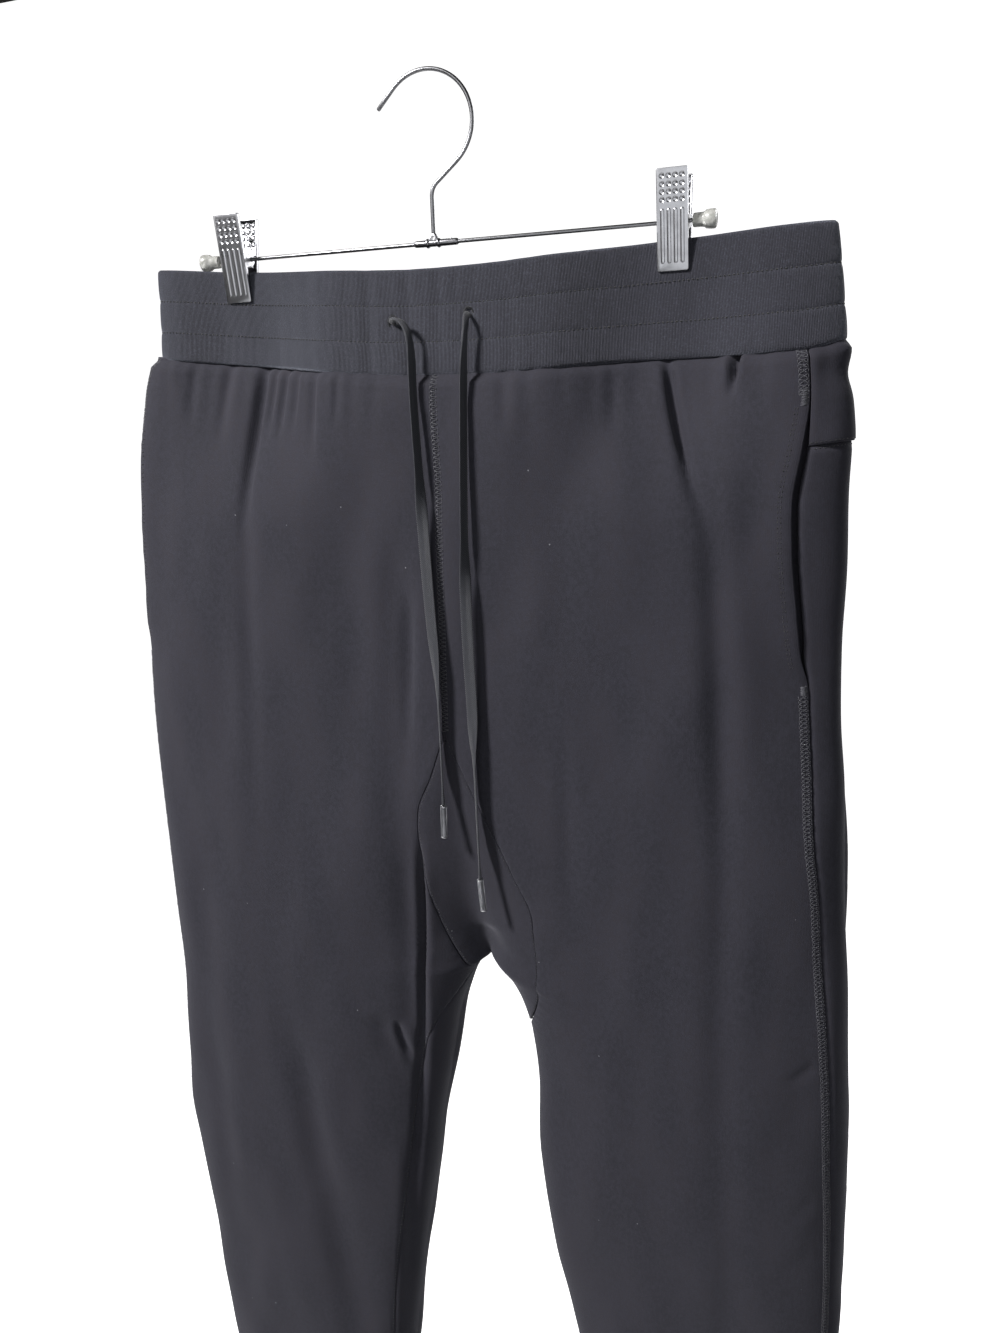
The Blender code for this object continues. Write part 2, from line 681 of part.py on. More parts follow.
# ---- Drawstrings --------------------------------------------------------------------------------
def route(points, count):
    """Evenly spread points on a smooth curve through the route's own points."""
    spots = [Vector(point) for point in points]
    padded = [spots[0] * 2 - spots[1]] + spots + [spots[-1] * 2 - spots[-2]]
    dense = []
    for a, b, c, d in zip(padded, padded[1:], padded[2:], padded[3:]):
        for i in range(12):
            t = i / 12
            dense.append(0.5 * (2 * b + (c - a) * t + (2 * a - 5 * b + 4 * c - d) * t ** 2
                                + (3 * b - a - 3 * c + d) * t ** 3))
    dense.append(spots[-1])
    lengths = [0.0]
    for p, q in zip(dense, dense[1:]):
        lengths.append(lengths[-1] + (q - p).length)
    result = []
    for i in range(count + 1):
        wanted = lengths[-1] * i / count
        k = min(max(bisect.bisect_right(lengths, wanted) - 1, 0), len(dense) - 2)
        t = (wanted - lengths[k]) / max(lengths[k + 1] - lengths[k], 1e-9)
        result.append(dense[k].lerp(dense[k + 1], t))
    return result


def make_cord(side, points):
    """A flat tape swept along its route. It is curled narrow in the eyelet and opens out below."""
    spots = [Vector((x, y, -down)) * MM for x, y, down in route(points, 44)]
    mesh = bmesh.new()
    rings = []
    for i, spot in enumerate(spots):
        ahead = spots[min(i + 1, len(spots) - 1)] - spots[max(i - 1, 0)]
        ahead.normalize()
        open_out = ramp(i, 3, 12) * (1 - 0.35 * ramp(i, 36, 43))
        width = CURL_WIDTH + (TAPE_WIDTH - CURL_WIDTH) * open_out
        thick = TAPE_THICK + (0.8 * MM) * (1 - ramp(i, 3, 12))
        across = Vector((1, 0, 0)) - ahead * ahead.x
        across.normalize()
        face = ahead.cross(across)
        ring = []
        for k in range(8):
            angle = 2 * math.pi * (k + 0.5) / 8
            ring.append(mesh.verts.new(spot + across * (width / 2 * math.cos(angle) / math.cos(math.pi / 8))
                                       + face * (thick / 2 * math.sin(angle) / math.cos(math.pi / 8))))
        rings.append(ring)
    for ring, following in zip(rings, rings[1:]):
        for k in range(8):
            j = (k + 1) % 8
            mesh.faces.new((ring[k], ring[j], following[j], following[k]))
    mesh.faces.new(rings[0][::-1])
    mesh.faces.new(rings[-1])
    finish_mesh("drawstring_" + side, mesh, "drawstring")
    return spots[-1]


def make_aglet(side, end):
    top = end - Vector((0, 0, SEAM_GAP))
    foot = top + Vector((AGLET_LEAN[side], 0, -AGLET_LENGTH))
    tube("aglet_" + side, [top, foot], AGLET_RADIUS, "aglet_metal", sides=10)


def tube(name, points, radius, finish, sides=10):
    """A round wire through points, with flat ends, as a curve with a bevel turned into a mesh."""
    curve = bpy.data.curves.new(name, "CURVE")
    curve.dimensions = "3D"
    curve.bevel_depth = radius
    curve.bevel_resolution = max(sides // 2 - 2, 1)
    curve.use_fill_caps = True
    spline = curve.splines.new("POLY")
    spline.points.add(len(points) - 1)
    for knot, point in zip(spline.points, points):
        knot.co = (*point, 1.0)
    made = bpy.data.objects.new(name, curve)
    bpy.context.scene.collection.objects.link(made)
    curve.materials.append(material(finish))
    return made


# ---- Hanger -------------------------------------------------------------------------------------
def make_hook():
    """Shank, slanted shoulder, three quarters of a circle and a straight tip."""
    centre = Vector((HOOK_CENTRE_X, 0, HOOK_WIRE / 2 - HOOK_RADIUS))
    first, last = (math.radians(angle) for angle in HOOK_ARC)
    arc = []
    for i in range(19):
        angle = first + (last - first) * i / 18
        arc.append(centre + Vector((math.cos(angle), 0, math.sin(angle))) * HOOK_RADIUS)
    tip = arc[-1] + Vector((-math.sin(last), 0, math.cos(last))) * HOOK_TIP
    shank_foot = Vector((0, 0, BAR_Z + COLLAR_RISE + SEAM_GAP))
    corner = Vector((0, 0, SHANK_TOP))
    towards = (arc[0] - corner).normalized()
    bend = []
    for i in range(6):
        t = i / 5
        start = corner + Vector((0, 0, -4 * MM))
        end = corner + towards * 4 * MM
        bend.append(start.lerp(corner, t).lerp(corner.lerp(end, t), t))
    tube("hook", [shank_foot] + bend + arc + [tip], HOOK_WIRE / 2, "chrome", sides=8)


COLLAR_RISE = 5.0 * MM
COLLAR_RADIUS = 2.2 * MM


def turned_x(name, profile, finish, sides=16, z=BAR_Z):
    """A body turned about the bar's line. profile is x and radius in metres, from -X to +X."""
    mesh = bmesh.new()
    rings = []
    for x, radius in profile:
        if radius <= 0:
            rings.append([mesh.verts.new((x, 0, z))])
            continue
        ring = []
        for k in range(sides):
            angle = 2 * math.pi * k / sides
            ring.append(mesh.verts.new((x, radius * math.cos(angle), z + radius * math.sin(angle))))
        rings.append(ring)
    for near, far in zip(rings, rings[1:] + rings[:1]):
        if len(near) == 1 and len(far) == 1:
            continue
        for k in range(sides):
            j = (k + 1) % sides
            corners = [near[k % len(near)], near[j % len(near)], far[j % len(far)], far[k % len(far)]]
            mesh.faces.new(list(dict.fromkeys(corners)))
    return finish_mesh(name, mesh, finish)


def make_bar():
    """The straight bar, the crimped collar that joins it to the hook, and the end knobs."""
    tube("bar", [Vector((BAR_LEFT, 0, BAR_Z)), Vector((BAR_RIGHT, 0, BAR_Z))], BAR_WIRE / 2,
         "chrome", sides=8)
    bore = BAR_WIRE / 2 + SEAM_GAP
    collar = turned_x("bar_collar", [
        (-11 * MM, bore), (-10 * MM, 1.7 * MM), (-4 * MM, 1.9 * MM), (-3 * MM, COLLAR_RADIUS * 1.3),
        (3 * MM, COLLAR_RADIUS * 1.3), (4 * MM, 1.9 * MM), (13 * MM, 1.7 * MM), (14 * MM, bore),
    ], "chrome", sides=12)
    bpy.ops.mesh.primitive_cone_add(vertices=10, radius1=2.6 * MM, radius2=1.5 * MM, depth=3.2 * MM,
                                    location=(0, 0, BAR_Z + COLLAR_RISE - 1.6 * MM))
    boss = bpy.context.object
    boss.name = "collar_boss_guide"
    boss.hide_render = True
    boss.display_type = "WIRE"
    join = collar.modifiers.new("boss", "BOOLEAN")
    join.object = boss
    join.operation = "UNION"
    join.solver = "EXACT"
    for side, end, outward in (("left", BAR_LEFT - SEAM_GAP, -1), ("right", BAR_RIGHT + SEAM_GAP, 1)):
        shape = ((0.0, 0.0), (0.0, 3.4), (0.42, 3.5), (0.55, 4.4), (0.93, 4.7), (1.0, 3.9), (1.0, 0.0))
        profile = [(end + outward * share * KNOB_LENGTH, radius * MM) for share, radius in shape]
        turned_x("knob_" + side, profile if outward > 0 else profile[::-1], "clear_plastic")


def box(name, low, high):
    bpy.ops.mesh.primitive_cube_add(size=1)
    made = bpy.context.object
    made.name = name
    for vertex in made.data.vertices:
        vertex.co = Vector([a + (b - a) * (t + 0.5) for a, b, t in zip(low, high, vertex.co)])
    return made


def plate_y(z):
    """Outer face of a clip plate at height z, as a distance from the bar's plane."""
    foot = JAW_DEPTH * MM + SEAM_GAP + CLIP_SHEET + 0.1 * MM
    share = (z - CLIP_BOTTOM) / (CLIP_TOP - CLIP_BOTTOM)
    return foot + (CLIP_FLARE - foot) * share


def clip_plate(name, x, facing):
    """A ribbed sheet plate with two side flanges that the bar runs through."""
    half = CLIP_WIDTH / 2
    mesh = bmesh.new()

    def slab(outline, x0, x1):
        faces = []
        for level in (x0, x1):
            ring = [mesh.verts.new((level, facing * y, z)) for y, z in outline]
            faces.append(ring)
            mesh.faces.new(ring)
        for k in range(len(outline)):
            j = (k + 1) % len(outline)
            mesh.faces.new((faces[0][k], faces[0][j], faces[1][j], faces[1][k]))

    sheet = [(plate_y(CLIP_TOP), CLIP_TOP), (plate_y(CLIP_BOTTOM), CLIP_BOTTOM),
             (plate_y(CLIP_BOTTOM) - CLIP_SHEET, CLIP_BOTTOM),
             (plate_y(CLIP_TOP) - CLIP_SHEET, CLIP_TOP)]
    slab(sheet, x - half, x + half)
    made = finish_mesh(name, mesh, "chrome")
    inset = 0.0 if facing < 0 else 1.4 * MM
    low, high = BAR_Z - 7 * MM, BAR_Z + 12 * MM
    flange = [(plate_y(high) - 0.3 * MM, high), (plate_y(low) - 0.3 * MM, low), (0.6 * MM, low + 4 * MM),
              (-2.4 * MM, BAR_Z - 2 * MM), (-2.4 * MM, BAR_Z + 2.4 * MM), (3.0 * MM, high)]
    for end in (-1, 1):
        mesh = bmesh.new()
        outer = x + end * (half - inset)
        slab(flange, min(outer, outer - end * CLIP_SHEET), max(outer, outer - end * CLIP_SHEET))
        add_guide(made, finish_mesh("%s_flange_guide_%d" % (name, end), mesh, "chrome"), "UNION")
    for i in range(CLIP_RIBS):
        rib_x = x + (i - (CLIP_RIBS - 1) / 2) * RIB_PITCH
        top, bottom = BAR_Z + 3 * MM, CLIP_BOTTOM + 4 * MM
        mesh = bmesh.new()
        rib = [(plate_y(top) + RIB_HEIGHT, top - 1 * MM), (plate_y(bottom) + RIB_HEIGHT, bottom + 1 * MM),
               (plate_y(bottom) - 0.3 * MM, bottom), (plate_y(top) - 0.3 * MM, top)]
        slab(rib, rib_x - 0.7 * MM, rib_x + 0.7 * MM)
        add_guide(made, finish_mesh("%s_rib_guide_%d" % (name, i), mesh, "chrome"), "UNION")
    bpy.ops.mesh.primitive_cylinder_add(vertices=12, radius=BAR_WIRE / 2 + SEAM_GAP, depth=30 * MM,
                                        location=(x, 0, BAR_Z), rotation=(0, math.pi / 2, 0))
    add_guide(made, bpy.context.object, "DIFFERENCE")
    return made


CLIP_RIBS = 4
RIB_PITCH = 3.3 * MM
RIB_HEIGHT = 0.5 * MM


def add_guide(target, guide, operation):
    guide.hide_render = True
    guide.display_type = "WIRE"
    step = target.modifiers.new(operation.lower(), "BOOLEAN")
    step.object = guide
    step.operation = operation
    step.solver = "EXACT"


def make_clips():
    for side, x in CLIP_X.items():
        clip_plate("clip_%s_front" % side, x, -1)
        clip_plate("clip_%s_back" % side, x, 1)
        bore, reach = BAR_WIRE / 2 + SEAM_GAP, CLIP_WIDTH / 2 - 1.4 * MM - CLIP_SHEET - SEAM_GAP
        turned_x("clip_%s_spring" % side, [
            (x - reach, bore), (x - reach, 3.0 * MM), (x + reach, 3.0 * MM), (x + reach, bore),
        ], "chrome", sides=14)


def main():
    for made in list(bpy.data.objects):
        bpy.data.objects.remove(made, do_unlink=True)
    make_waistband()
    make_body()
    make_yoke()
    make_gusset()
    make_facings()
    make_cuffs()
    for side, points in (("left", CORD_LEFT), ("right", CORD_RIGHT)):
        make_aglet(side, make_cord(side, points))
    make_hook()
    make_bar()
    make_clips()


main()
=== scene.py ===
"""Looks of a pair of knit joggers hung by the waistband from a metal clip hanger.

Sizes in the tables are millimetres: "down" is the distance below the inside top of the hook, x runs
across the garment. Everything that is made is in metres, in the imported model's own frame.
"""

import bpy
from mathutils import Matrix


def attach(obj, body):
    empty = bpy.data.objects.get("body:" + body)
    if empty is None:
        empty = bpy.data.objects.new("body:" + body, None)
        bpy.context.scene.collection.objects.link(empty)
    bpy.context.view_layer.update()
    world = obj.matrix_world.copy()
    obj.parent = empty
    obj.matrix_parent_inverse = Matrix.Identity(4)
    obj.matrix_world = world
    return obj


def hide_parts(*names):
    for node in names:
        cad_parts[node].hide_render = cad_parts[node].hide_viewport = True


bl_info = {
    "name": "Hanging joggers",
    "version": (1, 0, 0),
    "blender": (4, 5, 0),
    "location": "3D View > Sidebar > Joggers",
    "description": "Makes joggers on a clip hanger round their packed model",
    "category": "Object",
}

import math

import bmesh
import bpy
import numpy as np
from mathutils import Matrix, Vector

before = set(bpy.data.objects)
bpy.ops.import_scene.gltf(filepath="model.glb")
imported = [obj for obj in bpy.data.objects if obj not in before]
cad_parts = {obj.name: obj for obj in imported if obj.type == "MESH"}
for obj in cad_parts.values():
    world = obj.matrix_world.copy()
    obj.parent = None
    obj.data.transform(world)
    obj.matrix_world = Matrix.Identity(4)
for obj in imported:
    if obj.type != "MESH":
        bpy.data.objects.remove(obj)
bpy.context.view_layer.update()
MM = 0.001

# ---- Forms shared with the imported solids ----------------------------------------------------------
# Outline of the body. down, left edge x, right edge x, depth.
BODY = (
    (150, -183.0, 215.5, 27.0), (170, -190.0, 217.5, 30.5), (198, -195.0, 218.6, 32.5),
    (233, -200.0, 218.5, 33.5), (282, -205.0, 218.0, 34.5), (334, -208.0, 220.5, 36.0),
    (380, -209.5, 224.2, 37.0), (420, -209.0, 227.5, 38.0), (474, -208.5, 229.5, 39.0),
    (536, -208.5, 233.5, 40.0), (583, -209.5, 235.5, 40.0), (614, -211.0, 236.5, 39.5),
    (651, -214.0, 238.0, 39.0), (682, -211.5, 238.8, 38.0), (710, -209.0, 239.0, 37.0),
    (739, -206.5, 238.0, 36.0), (786, -204.0, 236.0, 35.0), (834, -201.0, 233.5, 33.0),
    (900, -197.0, 229.5, 31.0), (980, -192.0, 224.5, 28.0), (1050, -188.0, 220.0, 26.0),
)
# Middle line and the space between the legs. down, centre x, half the gap.
MIDDLE = (
    (85, 10.0, 0), (155, 6.5, 0), (216, 8.6, 0), (352, 8.0, 0), (430, 12.0, 0), (504, 17.5, 0),
    (512, 20.3, 9.7), (526, 21.5, 17.5), (545, 21.0, 23.5), (583, 19.5, 29.5), (641, 14.0, 34.5),
    (704, 13.0, 45.0), (758, 14.0, 55.0), (834, 15.0, 66.0), (900, 15.0, 75.0), (980, 15.0, 84.0),
    (1050, 15.0, 91.0),
)
SADDLE = ((352, 1.0), (385, 0.93), (420, 0.77), (450, 0.58), (472, 0.39), (490, 0.19), (504, 0.0))
BAND_TOP = (
    (-176, 85.0), (-158, 86.5), (-121, 89.8), (-63, 94.0), (2, 97.3), (29, 97.0), (72, 95.0),
    (121, 92.3), (138, 91.6), (172, 90.3), (214, 88.6),
)
BAND_BOTTOM = (
    (-184, 135.5), (-159, 137.5), (-111, 142.2), (-60, 148.0), (-3, 152.3), (32, 152.7), (75, 151.0),
    (120, 148.8), (161, 148.7), (191, 148.0), (216, 143.5),
)
BAND = ((0.0, -174.5, 206.8, 14.0), (0.4, -175.0, 209.8, 17.5), (1.0, -176.5, 213.5, 24.5))
SIDE_SEAM = (
    (150, 19.0), (171, 19.5), (195, 23.5), (223, 27.5), (245, 26.5), (273, 23.0), (300, 19.5),
    (316, 15.5), (350, 15.5), (400, 16.5), (439, 13.6), (489, 11.5), (542, 10.4), (597, 9.0),
    (641, 7.5), (704, 7.0), (1050, 6.0),
)
GUSSET_LEFT = (
    (352, 2.0), (375, 11.0), (399, 22.0), (422, 24.5), (447, 23.5), (472, 20.0), (495, 15.0),
    (512, 9.7),
)
GUSSET_RIGHT = (
    (352, 2.0), (380, 12.0), (411, 25.0), (434, 33.5), (460, 42.0), (485, 42.0), (510, 37.5),
    (530, 30.0), (545, 23.5),
)
INSEAM = ((504, 0, 0), (512, 0, 0), (545, 11.0, 0), (560, 14.0, 0), (700, 13.0, 0), (1050, 6.0, 0))
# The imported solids' own folds on each face. x and down of each end, depth (minus for a ridge), half-width.
FOLDS = {
    "front": (
        (-106, 140, -118, 240, 4.0, 9.0), (-90, 146, -92, 190, 2.2, 7.0), (-68, 147, -70, 200, 2.0, 8.0),
        (128, 148, 147, 222, 4.5, 7.5), (-80, 215, -88, 330, -2.0, 18.0), (-44, 215, -48, 380, 2.5, 15.0),
        (-20, 250, -26, 420, 3.5, 11.0), (75, 170, 90, 420, 2.0, 22.0), (-23, 430, -28, 640, 3.5, 9.0),
        (-46, 545, -33, 590, 2.5, 8.0), (-108, 560, -62, 860, 2.5, 14.0), (-172, 470, -176, 900, 2.0, 12.0),
    ),
    "back": (
        (-95, 142, -105, 300, 4.0, 12.0), (-40, 148, -45, 260, 3.0, 10.0), (60, 148, 70, 280, 3.5, 11.0),
        (130, 148, 150, 330, 3.0, 12.0), (-130, 420, -120, 700, 3.0, 20.0), (140, 430, 150, 720, 3.0, 20.0),
    ),
}
TOP_ROW, YOKE_ROW, GUSSET_TIP, CROTCH, ANKLE_ROW = 150.0, 195.0, 352.0, 504.0, 1050.0
GUSSET_CORNER = {-1: 512.0, 1: 545.0}
SEAM_TURN = {-1: 0.1, 1: 1.0}       # the garment hangs turned: the wearer's right seam lies at the edge
POCKET_TOP, POCKET_END = 171.0, 316.0
ROUND_BODY, ROUND_LEG, ARCH_SOFTNESS = 2.7, 2.4, 12.0
CLIP_X = {"left": -120.0, "right": 129.0}
JAW_DEPTH, PINCH_FLAT, PINCH_FADE, PINCH_FADE_DOWN = 3.0, 9.0, 58.0, (112.0, 235.0)
CORD_LEFT = (
    (-18.1, -17.0, 124.4), (-18.0, -21.0, 124.2), (-15.6, -24.2, 123.3), (-11.0, -26.4, 124.2),
    (-7.0, -27.9, 128.6), (-4.7, -29.2, 136.0), (-3.8, -30.4, 145.0), (-3.2, -32.2, 158.0),
    (-2.2, -34.2, 172.0), (-0.9, -36.0, 190.0), (0.1, -37.2, 208.0), (1.1, -38.0, 229.0),
    (2.3, -38.8, 256.0), (3.9, -39.6, 285.0), (5.6, -40.2, 311.0), (6.3, -40.6, 340.0),
    (6.4, -40.8, 365.0), (6.5, -41.0, 390.0),
)
CORD_RIGHT = (
    (24.6, -17.0, 122.4), (24.8, -21.2, 122.4), (25.4, -24.6, 124.4), (25.6, -27.0, 129.6),
    (25.4, -28.8, 137.0), (25.3, -30.6, 147.0), (25.4, -33.0, 162.0), (25.5, -35.4, 181.0),
    (25.1, -37.4, 210.0), (24.5, -38.6, 247.0), (24.8, -39.6, 292.0), (26.0, -40.4, 331.0),
    (26.0, -40.8, 352.0), (26.5, -41.2, 375.0), (26.8, -41.5, 399.0), (27.4, -41.8, 433.0),
)
EYELETS = {"left": (-18.1, 124.4), "right": (24.6, 122.4)}
BAR_Z = -83.3 * MM          # the line of the bar, in metres and in mm
BAR_LINE = BAR_Z / MM

# ---- Finer forms that only the looks have ---------------------------------------------------------
# Creases on top of the solids' folds, on each face. x and down at three places, depth, half-width.
CREASES = {
    "front": (
        (-105, 140, -109, 172, -116, 235, 4.2, 3.8), (-112, 215, -118, 300, -121, 420, 1.8, 7.0),
        (-128, 138, -131, 160, -133, 185, 1.8, 4.0), (-97, 143, -98, 160, -100, 186, 2.4, 2.6),
        (-88, 145, -90, 162, -91, 184, 2.3, 2.5), (-79, 145, -80, 160, -82, 180, 2.2, 2.5),
        (-66, 147, -67, 165, -67, 192, 2.4, 3.2), (-50, 149, -50, 162, -51, 178, 1.4, 2.8),
        (-150, 138, -152, 158, -153, 176, 1.5, 3.8), (161, 146, 161, 155, 160, 167, 6.5, 2.2),
        (127, 149, 134, 182, 149, 226, 4.6, 2.7), (20, 478, 25, 488, 30, 500, 2.5, 12.0),
        (150, 200, 160, 330, 166, 520, 3.2, 8.0), (160, 430, 170, 640, 176, 860, 1.8, 10.0),
        (76, 340, 78, 400, 80, 455, 1.2, 6.0), (45, 152, 46, 166, 47, 184, 1.0, 4.0),
        (100, 150, 101, 166, 102, 186, 1.0, 4.0), (-13, 270, -15, 320, -18, 372, 3.0, 4.6),
        (-13, 425, -18, 504, -24, 584, 6.6, 2.4), (-24, 552, -29, 620, -40, 700, 3.0, 3.0),
        (-36, 545, -33, 562, -28, 582, 3.4, 2.8), (-36, 640, -42, 720, -50, 800, 1.8, 4.0),
        (-84, 740, -80, 850, -76, 980, 2.6, 13.0), (-106, 560, -96, 680, -86, 800, 2.0, 11.0),
        (60, 560, 64, 640, 60, 740, -0.8, 9.0), (215, 530, 208, 537, 200, 541, 0.9, 4.0),
        (218, 620, 210, 627, 202, 632, 0.8, 4.0), (219, 658, 210, 664, 201, 668, 0.9, 4.0),
    ),
    "back": (
        (-100, 142, -103, 175, -108, 215, 1.8, 4.0), (-70, 145, -71, 170, -73, 200, 1.2, 4.0),
        (-30, 149, -31, 172, -34, 205, 1.4, 4.0), (25, 151, 25, 170, 27, 195, 1.0, 4.0),
        (66, 150, 67, 178, 70, 214, 1.6, 4.0), (100, 149, 103, 170, 108, 200, 1.1, 4.0),
        (150, 147, 153, 180, 158, 224, 1.6, 4.5), (-20, 440, -30, 500, -52, 560, 2.4, 6.0),
        (52, 440, 60, 500, 80, 560, 2.4, 6.0), (-60, 640, -90, 662, -128, 672, 1.4, 7.0),
        (80, 650, 112, 668, 150, 676, 1.4, 7.0), (-80, 880, -110, 892, -140, 898, 1.0, 6.0),
        (100, 900, 130, 910, 165, 914, 1.0, 6.0),
    ),
}
# Small gathers that the elastic draws under the band, all round. x, depth.
GATHERS = (
    (-168, 0.5), (-158, 0.7), (-141, 0.6), (-119, 0.8), (-74, 0.9), (-57, 0.6), (-41, 0.5),
    (-28, 0.35), (58, 0.35), (76, 0.4), (91, 0.5), (112, 0.5), (149, 0.7), (174, 0.5), (205, 0.5),
)
# Soft creases across the ribbed band. x, depth.
BAND_CREASES = (
    (-150, 0.5), (-97, 0.8), (-70, 0.4), (-33, 0.9), (-9, 1.0), (8, 0.5), (46, 0.8), (60, 0.4),
    (84, 0.5), (168, 0.6), (190, 0.4),
)

CREASE_DEPTH = 1.3          # all depths of the table of creases are times this
SIDES = ((-1, "right"), (1, "left"))
def curve_of(rows, column=1):
    """A function of a table's first column that runs smoothly through one of its others."""
    keys = np.array([row[0] for row in rows], float)
    values = np.array([row[column] for row in rows], float)
    steps = np.diff(values) / np.diff(keys)
    slopes = np.zeros(len(keys))
    slopes[0], slopes[-1] = steps[0], steps[-1]
    product = steps[:-1] * steps[1:]
    total = np.where(product > 0, steps[:-1] + steps[1:], 1.0)
    slopes[1:-1] = np.where(product > 0, 2 * product / total, 0.0)

    def read(key):
        key = np.clip(key, keys[0], keys[-1])
        i = np.clip(np.searchsorted(keys, key, "right") - 1, 0, len(keys) - 2)
        span = keys[i + 1] - keys[i]
        t = (key - keys[i]) / span
        return (values[i] * (1 + 2 * t) * (1 - t) ** 2 + slopes[i] * span * t * (1 - t) ** 2
                + values[i + 1] * t * t * (3 - 2 * t) + slopes[i + 1] * span * t * t * (t - 1))
    return read


edge_left, edge_right, body_depth = (curve_of(BODY, k) for k in (1, 2, 3))
centre_x, leg_gap = curve_of(MIDDLE, 1), curve_of(MIDDLE, 2)
saddle_share, band_top, band_bottom = curve_of(SADDLE), curve_of(BAND_TOP), curve_of(BAND_BOTTOM)
band_left, band_right, band_depth = (curve_of(BAND, k) for k in (1, 2, 3))
seam_inset = curve_of(SIDE_SEAM)
gusset_half = {-1: curve_of(GUSSET_LEFT), 1: curve_of(GUSSET_RIGHT)}
inseam_inset = {-1: curve_of(INSEAM, 1), 1: curve_of(INSEAM, 2)}


def ramp(value, low, high):
    """0 below low, 1 above high, smooth between."""
    t = np.clip((np.asarray(value, float) - low) / (high - low), 0.0, 1.0)
    return t * t * (3 - 2 * t)


def bell(distance, width):
    """1 at no distance, falling to 0 beyond the width."""
    return np.exp(-(distance / width) ** 2)


def pinch(x, down):
    """1 where a clip squeezes the cloth flat, 0 away from the clips."""
    near = np.minimum(abs(x - CLIP_X["left"]), abs(x - CLIP_X["right"]))
    return (1 - ramp(down, *PINCH_FADE_DOWN)) * (1 - ramp(near, PINCH_FLAT, PINCH_FLAT + PINCH_FADE))


def squeezed(depth, x, down):
    """A depth in mm that the clips' jaws hold thin."""
    squeeze = pinch(x, down)
    return depth * (1 - squeeze) + np.minimum(depth, JAW_DEPTH) * squeeze


def on_line(x, down, x0, down0, x1, down1):
    """Where points lie along a line, 0 to 1, and how far across it, in mm."""
    run, drop = x1 - x0, down1 - down0
    length = math.hypot(run, drop)
    return (((x - x0) * run + (down - down0) * drop) / length ** 2,
            ((x - x0) * drop - (down - down0) * run) / length)


def rows_by_face(table, front):
    """Every row of a table, with the mask of the face that it belongs to."""
    return [(here, row) for face, here in (("front", front), ("back", ~front)) for row in table[face]]


def fold_depth(x, down, front):
    """How far the solids' folds push the surface in, in mm. front is True on the front."""
    total = np.zeros(np.broadcast(x, down).shape)
    for here, (*ends, depth, width) in rows_by_face(FOLDS, front):
        along, across = on_line(x, down, *ends)
        taper = ramp(along, -0.25, 0.15) * (1 - ramp(along, 0.35, 1.25))
        total = total + here * depth * taper * bell(across, width)
    return total


def crease_depth(x, down, front):
    """How far the finer creases push the surface in, in mm. Each bows through its middle place."""
    total = np.zeros(np.broadcast(x, down).shape)
    for here, (x0, down0, xm, downm, x1, down1, depth, width) in rows_by_face(CREASES, front):
        ends = (x0, down0, x1, down1)
        along, across = on_line(x, down, *ends)
        share = np.clip(along, 0, 1)
        across = across - 4 * on_line(xm, downm, *ends)[1] * share * (1 - share)
        taper = ramp(along, -0.12, 0.2) * (1 - ramp(along, 0.45, 1.15))
        soft = bell(across, width) - 0.35 * bell(across, 2.6 * width)
        total = total + here * CREASE_DEPTH * depth * taper * soft
    return total


def soft_offset(offset):
    return np.sqrt(offset ** 2 + ARCH_SOFTNESS ** 2) - ARCH_SOFTNESS


def half_depth(x, row, front):
    """Half the body's front-to-back size at x on this row, in mm."""
    x, row, front = np.broadcast_arrays(x, row, front)
    centre = centre_x(row)
    offset = abs(x - centre)
    outer = abs(np.where(x > centre, edge_right(row), edge_left(row)) - centre)
    gap = leg_gap(row)
    legs = ramp(row, GUSSET_TIP - 20, CROTCH)
    exponent = ROUND_BODY + (ROUND_LEG - ROUND_BODY) * legs
    ridge = legs * (outer + np.mean([leg_gap(row + k) for k in range(-48, 49, 12)], axis=0)) / 2
    beyond = np.minimum((offset - ridge) / (outer - ridge), 1.0)
    flat = 1 - saddle_share(row) ** exponent
    fall = soft_offset(ridge) - soft_offset(offset)
    saddle = flat ** (1 / exponent) * fall / np.maximum(soft_offset(ridge), 1e-6)
    leg = np.minimum(fall / np.maximum(soft_offset(ridge) - soft_offset(gap), 1e-6), 1.0)
    share = np.where(offset >= ridge, beyond, np.where(row < CROTCH, saddle, leg))
    share = np.clip(share, 0.0, 1.0)
    full = body_depth(row)
    depth = full * (1 - share ** exponent) ** (1 / exponent)
    depth = squeezed(depth, x, row + lift(x, row))
    return depth - fold_depth(x, row, front) * ramp(depth / full, 0.1, 0.75)


def lift(x, row):
    return (band_bottom(x) - TOP_ROW) * (1 - ramp(row, TOP_ROW, TOP_ROW + 90))


def spread(place, row):
    legs = ramp(row, GUSSET_TIP, CROTCH)
    body = np.sin(math.pi / 2 * place)
    return body + ((1 - np.cos(math.pi * place)) / 2 - body) * legs


def inner_x(half, row):
    return centre_x(row) + half * leg_gap(row)


def outer_x(half, row):
    return edge_right(row) if half > 0 else edge_left(row)


def halve(early, low, high):
    """Where a test of arrays between low and high turns from true to false."""
    for _ in range(36):
        middle = (low + high) / 2
        before = early(middle)
        low, high = np.where(before, middle, low), np.where(before, high, middle)
    return (low + high) / 2


def place_of(half, x, row):
    """The loop place, 0 to 1, of a point x on the front."""
    start, end = inner_x(half, row), outer_x(half, row)
    wanted = (x - start) / (end - start)
    return halve(lambda place: spread(place, row) < wanted, np.zeros_like(wanted), np.ones_like(wanted))


